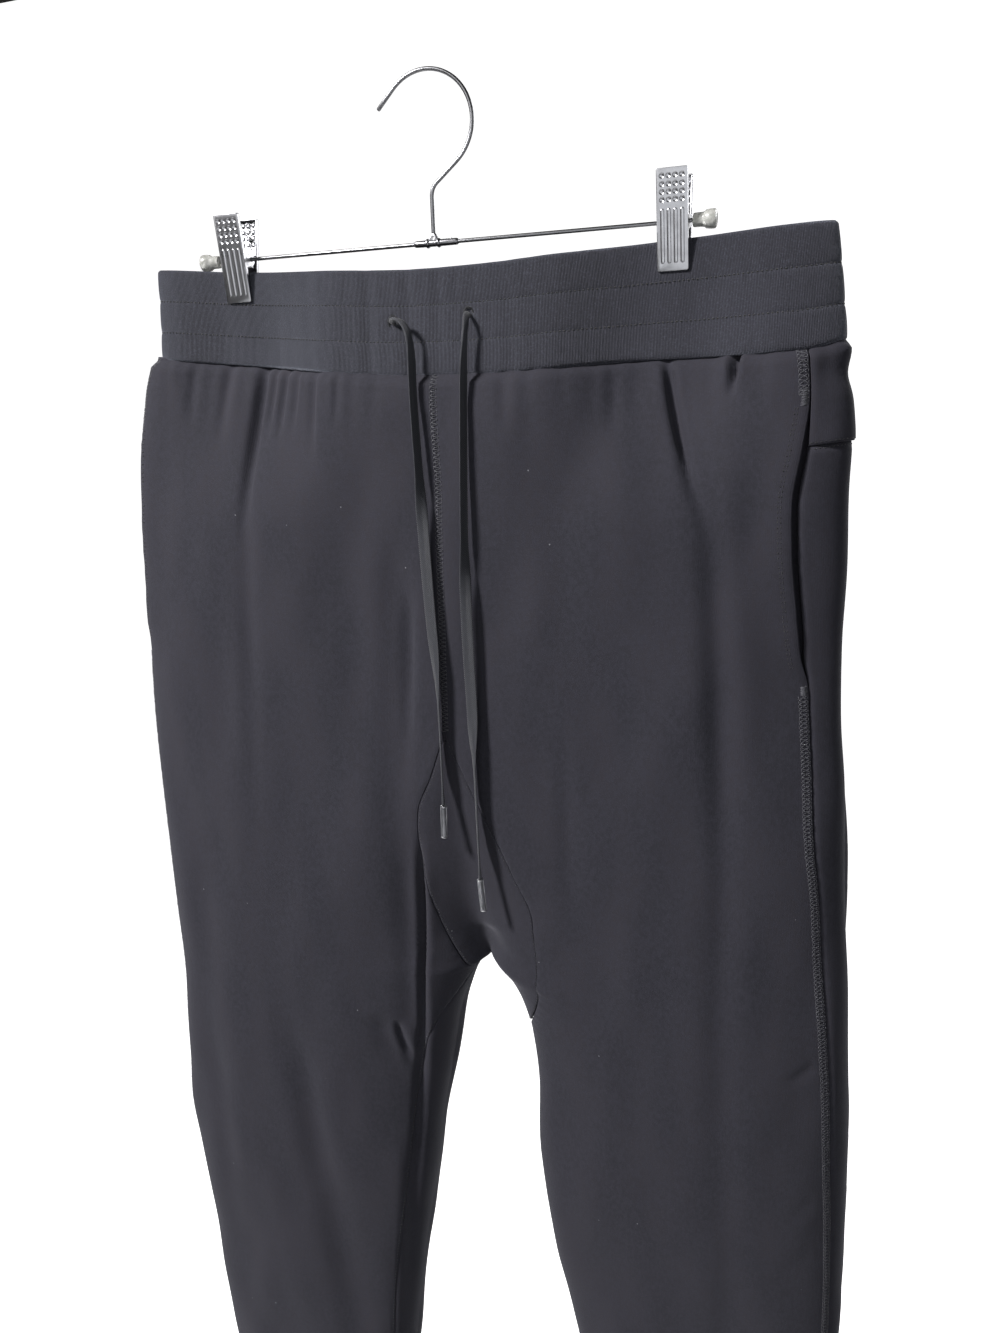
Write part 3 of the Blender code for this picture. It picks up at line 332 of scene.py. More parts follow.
def body_points(half, place, row):
    """Points of the body's outer surface, in mm. half, place and row are arrays."""
    half, place, row = np.broadcast_arrays(np.asarray(half, float), place, np.asarray(row, float))
    start = centre_x(row) + half * leg_gap(row)
    end = np.where(half > 0, edge_right(row), edge_left(row))
    beyond = (place < 0) | (place > 2)
    over = np.where(place < 0, -place, place - 2)
    crossed = beyond & (row < CROTCH)
    folded = abs((place + 1) % 2 - 1)
    x = np.where(crossed, start - spread(over, row) * (end - start),
                 start + spread(folded, row) * (end - start))
    front = place <= 1
    front = np.where(beyond & ~crossed, place > 2, front).astype(bool)
    depth = half_depth(x, row, front)
    y = np.where(front, -depth, depth)
    return np.stack([x, y, -(row + lift(x, row))], -1), front


def shift_place(half, place, row, distance):
    """Move a loop place by a distance in mm along the surface."""
    step = 0.002
    ahead, _ = body_points(half, place + step, row)
    behind, _ = body_points(half, place - step, row)
    span = np.linalg.norm(ahead - behind, axis=-1)
    return place + distance * 2 * step / np.maximum(span, 1e-6)


def unit(vectors):
    return vectors / np.maximum(np.linalg.norm(vectors, axis=-1, keepdims=True), 1e-12)


def body_frame(half, place, row):
    """Points, outward directions and front mask of the body's surface."""
    half, place, row = np.broadcast_arrays(np.asarray(half, float), place, np.asarray(row, float))
    points, front = body_points(half, place, row)
    along = body_points(half, place + 0.006, row)[0] - body_points(half, place - 0.006, row)[0]
    down = body_points(half, place, row + 1.5)[0] - body_points(half, place, row - 1.5)[0]
    return points, unit(np.cross(down, along)) * half[..., None], front


def seam_x(half, row):
    return outer_x(half, row) - half * seam_inset(row) * SEAM_TURN[half]


def front_start(half, row):
    """x of the front panel's inner edge: centre seam, gusset edge, then inseam."""
    row = np.asarray(row, float)
    gusset = centre_x(row) + half * gusset_half[half](row)
    leg = inner_x(half, row) + half * inseam_inset[half](row)
    return np.where(row < GUSSET_TIP, centre_x(row), np.where(row < GUSSET_CORNER[half], gusset, leg))


def pocket_mouth(row):
    return ramp(row, POCKET_TOP, POCKET_TOP + 30) * (1 - ramp(row, POCKET_END - 30, POCKET_END))


def side_place(half, row, distance):
    return shift_place(half, place_of(half, seam_x(half, row), row), row, distance)


def back_end(half, row):
    inner = place_of(half, front_start(half, row), row)
    return np.where(row < GUSSET_TIP, 2.0, np.where(row < GUSSET_CORNER[half], 2 - inner, 2 + inner))


# ---- Shader expressions ---------------------------------------------------------------------------
class Value:
    """A shader socket that takes part in Python expressions."""

    def __init__(self, paint, socket):
        self.paint, self.socket = paint, socket

    def combine(self, operation, *others):
        return self.paint.node("ShaderNodeMath", {"operation": operation}, *others)

    def __add__(self, other):
        return self.combine("ADD", self, other)

    def __sub__(self, other):
        return self.combine("SUBTRACT", self, other)

    def __rsub__(self, other):
        return self.combine("SUBTRACT", other, self)

    def __mul__(self, other):
        return self.combine("MULTIPLY", self, other)

    def wave(self):
        """Sine of the value."""
        return self.combine("SINE", self)

    def above(self, low, high):
        """0 below low, 1 above high, smooth between."""
        return self.paint.node("ShaderNodeMapRange", {"interpolation_type": "SMOOTHSTEP"},
                               self, low, high, 0.0, 1.0)


class Paint:
    """A material that is filled with node expressions."""

    def __init__(self, name, **constants):
        self.material = bpy.data.materials.new(name)
        self.material.use_nodes = True
        self.tree = self.material.node_tree
        self.shader = self.tree.nodes["Principled BSDF"]
        for socket, value in constants.items():
            self.shader.inputs[socket.replace("_", " ")].default_value = value

    def node(self, kind, settings=None, *values, output=0, **named):
        """Any node: its settings are set first, then the values or links of its sockets."""
        made = self.tree.nodes.new(kind)
        for key, setting in (settings or {}).items():
            setattr(made, key, setting)
        inputs = list(zip([s for s in made.inputs if s.enabled], values))
        inputs += [(made.inputs[key], value) for key, value in named.items()]
        for socket, value in inputs:
            if isinstance(value, Value):
                self.tree.links.new(value.socket, socket)
            elif value is not None:
                socket.default_value = value
        return Value(self, [s for s in made.outputs if s.enabled][output])

    def mix(self, factor, first, second):
        """A colour between two others."""
        colours = [(*c, 1.0) if isinstance(c, tuple) else c for c in (first, second)]
        return self.node("ShaderNodeMix", {"data_type": "RGBA"}, factor, *colours)

    def shades(self, face, colour, *rows):
        """Shades of a colour laid over a face. Each row: where, from, to, strength, shade."""
        for where, low, high, strength, shade in rows:
            factor = where.above(low, high)
            face = self.mix(factor if strength == 1 else factor * strength, face, tone(colour, shade))
        return face

    def place(self, scale=(1, 1, 1)):
        """Object coordinates in metres, scaled."""
        where = self.node("ShaderNodeTexCoord", output=3)
        return self.node("ShaderNodeMapping", None, where, None, None, Vector(scale))

    def noise(self, size, detail=2.0, stretch=(1, 1, 1), where=None):
        """Noise with spots of about this size in metres."""
        where = where or self.place([s / size for s in stretch])
        return self.node("ShaderNodeTexNoise", None, where, 1.0, detail, 0.5)

    def parts(self, vector):
        """The first two parts of a vector."""
        return [self.node("ShaderNodeSeparateXYZ", None, vector, output=k) for k in (0, 1)]

    def along(self):
        """The piece's own lengthways and downward place, in metres."""
        return self.parts(self.node("ShaderNodeUVMap", {"uv_map": "weave"}))

    def link(self, value, key):
        self.tree.links.new(value.socket, self.shader.inputs[key])

    def finish(self, colour, roughness, height, depth, strength):
        """The material with these and with a relief of this depth in metres."""
        self.link(colour, "Base Color")
        self.link(roughness, "Roughness")
        bump = self.node("ShaderNodeBump", None, Strength=strength, Distance=depth, Height=height)
        self.link(bump, "Normal")
        return self.material


def tone(colour, factor):
    return tuple(min(channel * factor, 1.0) for channel in colour)


def jersey(name, colour):
    """Brushed jersey: fine wales, a mottled dark face, a soft nap and a little lint."""
    wale, fleck = 0.9 * MM, 12 * MM
    paint = Paint(name, Sheen_Weight=0.12, Sheen_Roughness=0.45, Sheen_Tint=(0.75, 0.75, 0.85, 1),
                  Specular_IOR_Level=0.25)
    u, v = paint.along()
    wales = (u * (2 * math.pi / wale)).wave()
    loops = (v * (2 * math.pi / (wale * 0.75)) + wales * 0.9).wave()
    nap = paint.noise(0.7 * MM, 3.0)
    broad = paint.noise(38 * MM, 2.0, (1.6, 1, 0.6))
    mottle = paint.noise(2.2 * MM, 4.0, (1, 1, 0.7))
    warm = (colour[0] * 1.06, colour[1], colour[2] * 0.96)
    dark = paint.mix(broad.above(0.35, 0.68), tone(colour, 0.86), tone(warm, 1.08))
    dark = paint.shades(dark, colour, (mottle, 0.3, 0.72, 1, 1.22), (nap, 0.48, 0.75, 0.5, 1.7),
                        (wales * loops, -0.2, 1.0, 0.16, 0.6))
    cells, pick = (paint.node("ShaderNodeTexVoronoi", {"feature": "F1"}, paint.place([1 / fleck] * 3), 1.0,
                              output=k) for k in (0, 1))
    chosen = paint.node("ShaderNodeSeparateColor", None, pick).above(0.80, 0.82)
    lint = (1 - cells.above(0.022, 0.044)) * chosen
    dark = paint.mix(lint * 0.75, dark, (0.20, 0.20, 0.22))
    height = wales * 0.14 + loops * 0.14 + nap * 1.6 + lint * 1.2
    return paint.finish(dark, mottle * 0.12 + 0.80, height, 0.16 * MM, 0.5)


def ribbed(name, colour):
    """Ribbed elastic: fine upright ribs, cross yarns and a cool grey face."""
    rib, yarn = 0.76 * MM, 0.62 * MM
    paint = Paint(name, Sheen_Weight=0.3, Sheen_Roughness=0.4, Sheen_Tint=(0.75, 0.8, 0.95, 1),
                  Specular_IOR_Level=0.3)
    u, v = paint.along()
    ribs = (u * (2 * math.pi / rib)).wave()
    cross = (v * (2 * math.pi / yarn) + ribs * 0.8).wave()
    streak = paint.noise(1.0, 3.0, where=paint.node("ShaderNodeCombineXYZ", None, u * 520.0, v * 40.0, 0.0))
    mottle = paint.noise(1.6 * MM, 4.0)
    broad = paint.noise(30 * MM, 2.0, (1, 1, 0.4))
    speck = paint.noise(0.8 * MM, 3.0)
    face = paint.mix(broad.above(0.35, 0.66), tone(colour, 0.84), tone(colour, 1.08))
    # The last row of shades darkens the face between the ribs, where the relief is lowest: painted shade in
    # the grooves.
    face = paint.shades(face, colour, (streak, 0.35, 0.7, 0.25, 1.5), (mottle, 0.42, 0.72, 0.65, 1.5),
                        (speck, 0.50, 0.70, 0.75, 2.4), (0 - ribs, -0.1, 0.95, 0.55, 0.40))
    height = ribs * 0.8 + cross * 0.3 + mottle * 0.8 + speck * 0.9
    return paint.finish(face, mottle * 0.15 + 0.68, height, 0.34 * MM, 0.75)


def thread_finish(name, colour):
    """Twisted sewing thread."""
    paint = Paint(name, Sheen_Weight=0.2, Specular_IOR_Level=0.4)
    twist = paint.noise(0.35 * MM, 2.0, (1, 1, 1.6))
    colour = paint.mix(twist.above(0.3, 0.7), tone(colour, 0.7), tone(colour, 1.3))
    return paint.finish(colour, twist * 0.2 + 0.5, twist, 0.08 * MM, 0.5)


def tape_finish(name, colour):
    """Flat woven tape: slanting ribs that meet in the middle, with firm edges."""
    paint = Paint(name, Sheen_Weight=0.25, Sheen_Roughness=0.35, Specular_IOR_Level=0.4)
    u, v = paint.along()
    slant = paint.node("ShaderNodeMath", {"operation": "ABSOLUTE"}, u)
    weave = (slant * 5200.0 + v * 5200.0).wave()
    fine = (v * 9500.0).wave()
    mottle = paint.noise(1.2 * MM, 3.0)
    # The weave's colour follows its relief, darker in the grooves and lighter on the ribs: painted shade and
    # painted highlight.
    face = paint.mix(weave.above(-0.4, 0.9), tone(colour, 0.6), tone(colour, 1.25))
    face = paint.shades(face, colour, (mottle, 0.4, 0.75, 0.4, 1.7))
    height = weave * 0.8 + fine * 0.3 + mottle * 0.4
    return paint.finish(face, mottle * 0.15 + 0.55, height, 0.15 * MM, 0.7)


def plated(name, colour, rough):
    """Bright plated steel with faint draw lines, handling marks and dull spots."""
    paint = Paint(name, Metallic=1.0)
    cloud = paint.noise(6 * MM, 4.0)
    lines = paint.noise(0.5 * MM, 2.0, (0.12, 1, 1))
    face = paint.mix(cloud.above(0.35, 0.75), colour, tone(colour, 0.8))
    return paint.finish(face, cloud * 0.16 + lines * 0.10 + (rough - 0.1), lines, 0.03 * MM, 0.25)


def clear_plastic(name, colour):
    """Clear plastic with a smoky tint, fine scratches and moulding haze."""
    paint = Paint(name, Transmission_Weight=0.45, IOR=1.49)
    haze = paint.noise(2.5 * MM, 3.0)
    scratch = paint.noise(0.5 * MM, 3.0, (0.2, 1, 1))
    face = paint.mix(haze.above(0.35, 0.7), colour, (0.66, 0.66, 0.63))
    return paint.finish(face, haze * 0.15 + scratch * 0.12 + 0.05, scratch, 0.03 * MM, 0.3)


# ---- Meshes ---------------------------------------------------------------------------------------
def clustered(count, length, steps=(0.5, 1.1, 2.0)):
    """0 to 1 in even steps, with closer ones at both ends. length is the whole in mm."""
    near = [step / length for step in steps]
    middle = np.linspace(2 * near[-1], 1 - 2 * near[-1], count)
    return np.concatenate([[0], near, middle, [1 - n for n in reversed(near)], [1]])


def run_lengths(points, axis):
    """Cumulative length along an axis of a grid of points, in the points' own unit."""
    steps = np.linalg.norm(np.diff(points, axis=axis), axis=-1)
    zero = np.zeros_like(np.take(steps, [0], axis=axis))
    return np.concatenate([zero, np.cumsum(steps, axis=axis)], axis=axis)


def new_object(name, vertices, faces, material, uv=None):
    """A smooth mesh from arrays in metres. uv holds one pair per vertex."""
    data = bpy.data.meshes.new(name)
    data.from_pydata(np.asarray(vertices).tolist(), [], faces)
    if uv is not None:
        layer = data.uv_layers.new(name="weave")
        loops = np.zeros(len(data.loops), int)
        data.loops.foreach_get("vertex_index", loops)
        layer.data.foreach_set("uv", np.asarray(uv, float)[loops].ravel())
    data.validate()
    data.shade_smooth()
    made = bpy.data.objects.new(name, data)
    bpy.context.scene.collection.objects.link(made)
    data.materials.append(material)
    return made


def shell(name, outer, inner, material, uv, closed):
    """A closed wall between two grids of points in mm. j runs round a closed one."""
    height, width = outer.shape[:2]
    steps = width if closed else width - 1
    down = np.roll(outer, -1, 0)[:-1, :-1] - outer[:-1, :-1]
    along = np.roll(outer, -1, 1)[:-1, :-1] - outer[:-1, :-1]
    facing = np.cross(down, along) * (outer - inner)[:-1, :-1]
    turned = facing.sum() < 0
    count = height * width
    faces = []

    def add(*corners):
        faces.append(corners[::-1] if turned else corners)

    for i in range(height - 1):
        for j in range(steps):
            k = (j + 1) % width
            a, b, c, d = i * width + j, (i + 1) * width + j, (i + 1) * width + k, i * width + k
            add(a, b, c, d)
            add(count + d, count + c, count + b, count + a)
    for i, order in ((0, 1), (height - 1, -1)):
        for j in range(steps):
            k = (j + 1) % width
            a, b = i * width + j, i * width + k
            add(*(a, b, count + b, count + a)[::order])
    if not closed:
        for j, order in ((0, -1), (width - 1, 1)):
            for i in range(height - 1):
                a, b = i * width + j, (i + 1) * width + j
                add(*(a, b, count + b, count + a)[::order])
    points = np.concatenate([outer.reshape(-1, 3), inner.reshape(-1, 3)]) * MM
    both = np.concatenate([uv.reshape(-1, 2)] * 2)
    return new_object(name, points, faces, material, both)


# The cloth's slow waves. Wave length across and down in mm, turn, height in mm.
UNDULATION = (
    (70, 310, 0.4, 0.55), (46, 240, 2.1, 0.40), (95, 170, 4.0, 0.50), (31, 150, 1.1, 0.18),
    (58, 96, 5.2, 0.25), (24, 210, 3.3, 0.12), (140, 120, 0.9, 0.45), (38, 61, 2.7, 0.14),
)

def slack(x, down, front):
    """The cloth's slow waves, in mm."""
    side = np.where(front, 0.0, 1.7)
    total = np.zeros_like(x)
    for across, deep, turn, height in UNDULATION:
        total += height * (np.sin(2 * math.pi * x / across + turn + side + 0.8 * np.sin(down / 130))
                           * np.sin(2 * math.pi * down / deep + turn * 1.7 + side + x / 90))
    return total


def gathers(x, down, front):
    """Small folds under the elastic band."""
    below = down - band_bottom(x)
    width = 3.0 + below * 0.06
    total = np.zeros_like(x)
    for place, depth in GATHERS:
        for face, at in ((front, place), (~front, 28 - place)):
            total += face * depth * (bell(x - at - below * 0.02, width) - 0.5 * bell(x - at - 7, 1.4 * width))
    return total * (1 - ramp(below, 6, 46)) * (1 - 0.6 * pinch(x, down))


# The cloth draws in just below the band at the wearer's left end. depth, x, down, half-width, in mm.
CORNER_PULL, CORNER_X, CORNER_ROW, CORNER_REACH = 2.6, (190, 212), 159, 8.0


def surface_push(x, down, front, deep):
    """How far creases, gathers and waves push the cloth in, in mm. deep is the distance from its top."""
    push = crease_depth(x, down, front) + gathers(x, down, front)
    push = push + CORNER_PULL * ramp(x, *CORNER_X) * bell(down - CORNER_ROW, CORNER_REACH)
    return push - slack(x, down, front) * ramp(deep, 0, 25)


def rows_of(*runs):
    """Rows in mm. Each run holds a step and the stops that it goes through."""
    values = set()
    for step, *stops in runs:
        for low, high in zip(stops, stops[1:]):
            values.update(np.linspace(low, high, max(int(round((high - low) / step)), 1) + 1).round(4))
    return np.array(sorted(values))


# ---- Sizes and colours that a user may change -----------------------------------------------------
def cloth_settings():
    return bpy.context.scene.joggers_cloth


def hanger_settings():
    return bpy.context.scene.joggers_hanger


def colour_setting(name, description, default):
    return bpy.props.FloatVectorProperty(name=name, description=description, subtype="COLOR", size=3,
                                         default=default, min=0, max=1)


def length_setting(name, description, default, low, high):
    """A length whose three sizes are given in mm."""
    return bpy.props.FloatProperty(name=name, description=description, subtype="DISTANCE",
                                   default=default * MM, min=low * MM, max=high * MM)


class JoggersCloth(bpy.types.PropertyGroup):
    """Colours of the garment and the size of its stitches."""

    body_colour: colour_setting("Body", "Colour of the brushed jersey", (0.0184, 0.0179, 0.0246))
    band_colour: colour_setting("Waistband", "Colour of the ribbed elastic", (0.0238, 0.0238, 0.0322))
    thread_colour: colour_setting("Thread", "Colour of the sewing thread", (0.050, 0.050, 0.060))
    tape_colour: colour_setting("Drawstring", "Colour of the woven drawstring", (0.0248, 0.0260, 0.0322))
    stitch: length_setting("Stitch length", "Length of one stitch of the cover seams", 2.3, 1, 5)


class JoggersHanger(bpy.types.PropertyGroup):
    """Sizes and colour of the hanger's metal parts."""

    hook_wire: length_setting("Hook wire", "Diameter of the hook's wire", 2.2, 1, 4)
    bar_wire: length_setting("Bar wire", "Diameter of the straight bar", 2.1, 1, 4)
    hook_radius: length_setting("Hook radius", "Radius of the bend at the wire's middle", 25.5, 10, 40)
    metal_colour: colour_setting("Plating", "Colour of the bright plating", (0.48, 0.48, 0.50))


class Maker(bpy.types.Operator):
    """Base of the operators, each of which makes one group of pieces."""

    bl_options = {"REGISTER", "UNDO"}

    def execute(self, context):
        self.make(context)
        return {"FINISHED"}


def dress(piece, node_names):
    """The piece rides on the garment's one body and stands for its solids."""
    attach(piece, "root")
    if node_names:
        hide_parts(*node_names)
    return piece


def finish_of(name, maker, colour, *more):
    """The material of this name, made once."""
    return bpy.data.materials.get(name) or maker(name, tuple(colour), *more)


def shade_dark_thread():
    """Thread darkened to a tenth of its colour, as painted shade of the needle holes where it sinks into the
    cloth.
    """
    return finish_of("sunk thread", thread_finish, tone(tuple(cloth_settings().thread_colour), 0.10))



# ---- Stage ----------------------------------------------------------------------------------------
CAMERA_AT = (0.210, -0.542, -0.1735)
CAMERA_TURN, CAMERA_DIP, CAMERA_ROLL = 18.4, 14.1, -1.85
CAMERA_LENS = 1005 / 1333 * 36
FLOOR = -2.0                        # the garment hangs well above the floor


def camera_matrix():
    turn, dip, roll = (math.radians(angle) for angle in (CAMERA_TURN, CAMERA_DIP, CAMERA_ROLL))
    ahead = Vector((-math.sin(turn) * math.cos(dip), math.cos(turn) * math.cos(dip), -math.sin(dip)))
    level = Vector((math.cos(turn), math.sin(turn), 0))
    upright = level.cross(ahead)
    right = level * math.cos(roll) + upright * math.sin(roll)
    up = upright * math.cos(roll) - level * math.sin(roll)
    turned = Matrix((right, up, -ahead)).transposed().to_4x4()
    turned.translation = CAMERA_AT
    return turned


def soft_light(name, place, aim, size, power, colour):
    lamp = bpy.data.lights.new(name, "AREA")
    lamp.shape, lamp.size, lamp.size_y, lamp.energy, lamp.color = "RECTANGLE", *size, power, colour
    made = bpy.data.objects.new(name, lamp)
    bpy.context.scene.collection.objects.link(made)
    direction = Vector(aim) - Vector(place)
    made.matrix_world = Matrix.Translation(place) @ direction.to_track_quat("-Z", "Y").to_matrix().to_4x4()


def select_edges(made, chosen):
    """Enter edit mode with the edges whose both ends the function picks."""
    bpy.ops.object.mode_set(mode="OBJECT")
    for edge in made.data.edges:
        edge.select = all(chosen(made.data.vertices[k].co) for k in edge.vertices)
    bpy.ops.object.mode_set(mode="EDIT")


def make_backdrop():
    """A pale floor that bends up into a wall, far enough away to stay out of the garment's light."""
    bpy.ops.mesh.primitive_plane_add(size=1, location=(0, 2.6, FLOOR))
    sweep = bpy.context.object
    sweep.name = "backdrop"
    sweep.scale = (18, 8, 1)
    bpy.ops.object.transform_apply(location=True, rotation=False, scale=True)
    bpy.ops.object.mode_set(mode="EDIT")
    bpy.ops.mesh.select_all(action="DESELECT")
    select_edges(sweep, lambda co: co.y > 6.5)
    bpy.ops.mesh.extrude_region_move(TRANSFORM_OT_translate={"value": (0, 0, 5.0)})
    select_edges(sweep, lambda co: co.y > 6.5 and abs(co.z - FLOOR) < 0.01)
    bpy.ops.mesh.bevel(offset=1.5, segments=14, affect="EDGES")
    bpy.ops.object.mode_set(mode="OBJECT")
    sweep.data.shade_smooth()
    paper = Paint("white paper", Roughness=0.9, Specular_IOR_Level=0.1, Emission_Strength=1.0)
    side, depth = paper.parts(paper.place())
    glow = (depth * 0.949 - side * 0.316).above(0.55, 0.95)
    paper.link(paper.mix(glow, (0.0, 0.0, 0.0), (1.0, 1.0, 1.0)), "Emission Color")
    paper.link(paper.mix(paper.noise(9 * MM, 3.0), (0.93, 0.93, 0.93), (0.97, 0.97, 0.97)), "Base Color")
    sweep.data.materials.append(paper.material)
    sweep.visible_diffuse = False       # the white ground doesn't glow up at the garment


def make_world():
    """A studio that is brighter above than below."""
    world = bpy.data.worlds.new("studio")
    world.use_nodes = True
    nodes, link = world.node_tree.nodes, world.node_tree.links.new
    towards, parts = nodes.new("ShaderNodeTexCoord"), nodes.new("ShaderNodeSeparateXYZ")
    shade = nodes.new("ShaderNodeMapRange")
    link(towards.outputs["Generated"], parts.inputs[0])
    link(parts.outputs["Z"], shade.inputs["Value"])
    for key, value in (("From Min", -0.2), ("From Max", 0.8), ("To Min", 0.16), ("To Max", 0.60)):
        shade.inputs[key].default_value = value
    link(shade.outputs["Result"], nodes["Background"].inputs["Strength"])
    return world


class JOGGERS_OT_stage(Maker):
    """Make the pale floor, the studio light and the camera"""

    bl_idname = "joggers.stage"
    bl_label = "Stage"

    def make(self, context):
        sensor = bpy.data.cameras.new("camera")
        sensor.sensor_fit, sensor.sensor_height, sensor.sensor_width = "VERTICAL", 36, 36
        sensor.lens, sensor.clip_start, sensor.clip_end = CAMERA_LENS, 0.01, 50
        camera = bpy.data.objects.new("camera", sensor)
        context.scene.collection.objects.link(camera)
        camera.matrix_world = camera_matrix()
        context.scene.camera = camera
        make_backdrop()
        context.scene.world = make_world()
        context.scene.view_settings.view_transform = "Standard"
        soft_light("key", (-1.3, -1.4, 1.25), (0, 0, -0.35), (0.4, 0.4), 118, (1.0, 0.99, 0.99))
        soft_light("front card", (0.75, -2.2, -0.4), (0.1, 0, -0.4), (3.4, 2.4), 31, (0.96, 0.98, 1.0))
        soft_light("back card", (1.6, 2.2, 0.9), (0, 0, -0.45), (1.2, 1.2), 26, (0.98, 0.99, 1.0))


# ---- Cloth pieces ---------------------------------------------------------------------------------
PANELS = {}                 # outer points, outward directions and rows of each cloth piece, for its seams
WALL, FACING_WALL = 1.3, 1.0        # thickness of the body cloth and of the pocket facings, in mm
CALM_REACH = 40.0           # a back's columns follow its edges' mean over about this many mm of rows
SEAM_HALF = 0.15            # half of the gap that every seam leaves, in mm
SIDE_ROLL, END_ROLL = 1.3, 1.6      # how far in from its sides and ends a panel's edge rolls, in mm
RIPPLE, RIPPLE_WAVE, RIPPLE_REACH = 0.16, 1.05, 5.0         # the small ripples that stitches draw at a seam
TUCK, TUCK_REACH = 3.6, 6.5         # how deep, and over which length, the cloth draws in under the band
MOUTH_LIFT, MOUTH_WIDTH = 2.4, 13.0         # how far the front stands off at the pocket's mouth
SIDE_GAP, MOUTH_GAP = 0.5, 3.3      # from the side seam to the back's edge, and how much more at the mouth
TOP_LOW, TOP_HIGH, TIP_ROW = TOP_ROW - 1.8, TOP_ROW + 1.8, GUSSET_TIP - 0.3


def cloth(node, outer, normals, uv, rows=None, wall=WALL, elastic=False):
    """A cloth piece, dressed. Elastic ones are closed tubes.
    """
    look = cloth_settings()
    finish = (finish_of("ribbed elastic", ribbed, look.band_colour) if elastic
              else finish_of("brushed jersey", jersey, look.body_colour))
    made = shell(node.replace("facing_", "") + "_cloth", outer, outer - normals * wall, finish, uv, elastic)
    PANELS[node] = (outer, normals, rows)
    dress(made, [node])


def body_panel(node, half, rows, start, end, count, roll, sink=0.0, wall=WALL):
    """A panel of the body. start and end are loop places for every row; roll turns its four edges in.

    A front's columns keep their share of the width. It draws in under the band and lifts at the pocket.
    """
    is_front = node.startswith("front")
    t = clustered(count, 1.15 * abs(float(outer_x(half, 600.0) - inner_x(half, 600.0))))
    if is_front:
        first, last = (body_points(half, edge, rows)[0][:, :1] for edge in (start, end))
        place = place_of(half, first + (last - first) * t[None], rows[:, None])
    else:
        near = bell(rows[:, None] - rows[None], CALM_REACH)
        calm_start, calm_end = (near @ edge / near.sum(1) for edge in (start, end))
        place = calm_start[:, None] + (calm_end - calm_start)[:, None] * t[None]
        place = place + (start - calm_start)[:, None] * (1 - ramp(t, 0, 0.3))[None]
        place = place + (end - calm_end)[:, None] * ramp(t, 0.7, 1)[None]
    points, normals, front = body_frame(half, place, rows[:, None])
    x, down = points[..., 0], -points[..., 2]
    left, deep = run_lengths(points, 1), run_lengths(points, 0)
    right, bottom = left[:, -1:] - left, deep[-1:] - deep
    push = surface_push(x, down, front, deep) + sink
    push = push + roll[2] * bell(deep, END_ROLL) + roll[3] * bell(bottom, END_ROLL)
    for distance, depth in ((left, roll[0]), (right, roll[1])):
        push = push + depth * bell(distance, SIDE_ROLL)
        ripple = RIPPLE * np.sin(deep / RIPPLE_WAVE + half) * np.exp(-distance / RIPPLE_REACH)
        push = push + ripple * (depth > 0)
    if is_front:
        push = push + TUCK * (1 - ramp(deep, 0, TUCK_REACH))
        push = push - MOUTH_LIFT * pocket_mouth(rows[:, None]) * bell(right, MOUTH_WIDTH)
    uv = np.stack([-right if is_front else left, -down], -1) * MM
    cloth(node, points - normals * push[..., None], normals, uv, rows, wall)


def back_start(half, rows):
    """Loop places of the back's and the yoke's outer edge, which gapes at the pocket's mouth."""
    return side_place(half, rows, SIDE_GAP + MOUTH_GAP * pocket_mouth(rows))


class JOGGERS_OT_fronts(Maker):
    """Make both front panels, from the band to the ankles"""

    bl_idname = "joggers.fronts"
    bl_label = "Front panels"

    def make(self, context):
        for half, side in SIDES:
            rows = rows_of((0.9, TOP_LOW, TOP_HIGH), (2.4, TOP_HIGH, YOKE_ROW), (4.6, YOKE_ROW, TIP_ROW),
                           (4.0, TIP_ROW, 494.0, 566.0, 640.0), (1.3, 494.0, GUSSET_CORNER[half], 566.0),
                           (6.0, 640.0, ANKLE_ROW))
            start = shift_place(half, place_of(half, front_start(half, rows), rows), rows, SEAM_HALF)
            body_panel("front_" + side, half, rows, start, side_place(half, rows, -SEAM_HALF), 150,
                       (0.35, 0.4, 0.0, 0.5))


class JOGGERS_OT_backs(Maker):
    """Make both back panels, below the yoke"""

    bl_idname = "joggers.backs"
    bl_label = "Back panels"

    def make(self, context):
        for half, side in SIDES:
            rows = rows_of((4.0, YOKE_ROW, TIP_ROW, GUSSET_CORNER[half], 700.0), (7.0, 700.0, ANKLE_ROW))
            rows[0] += SEAM_HALF
            end = shift_place(half, back_end(half, rows), rows, -SEAM_HALF)
            body_panel("back_" + side, half, rows, back_start(half, rows), end, 112,
                       (0.9, 0.4, 0.5, 0.5))


class JOGGERS_OT_yoke(Maker):
    """Make the one-piece yoke that runs round the back from pocket to pocket"""

    bl_idname = "joggers.yoke"
    bl_label = "Yoke"

    def make(self, context):
        foot = YOKE_ROW - SEAM_HALF
        rows = rows_of((0.9, TOP_LOW, TOP_HIGH), (2.2, TOP_HIGH, foot),
                       (9.0, foot - 2.2, foot - 1.1, foot - 0.4))
        t = clustered(130, 240)[None]
        right, left = ((1 - t) * start[:, None] + 2.0 * t
                       for start in (back_start(half, rows) for half in (-1, 1)))
        place = np.concatenate([left, right[:, -2::-1]], 1)
        half = np.where(np.arange(place.shape[1]) < t.size, 1, -1)
        points, normals, front = body_frame(half, place, rows[:, None])
        x, down = points[..., 0], -points[..., 2]
        across, deep = run_lengths(points, 1), run_lengths(points, 0)
        bottom = deep[-1:] - deep
        push = surface_push(x, down, front, deep) - 0.5 + TUCK * (1 - ramp(deep, 0, TUCK_REACH))
        push = push + 0.6 * bell(bottom, 0.7) - 1.3 * ramp(x, 200, 212) * bell(bottom, 16)
        push = push + 0.5 * (bell(across, SIDE_ROLL) + bell(across[:, -1:] - across, SIDE_ROLL))
        uv = np.stack([across, -down], -1) * MM
        cloth("back_yoke", points - normals * push[..., None], normals, uv,
              rows=rows)


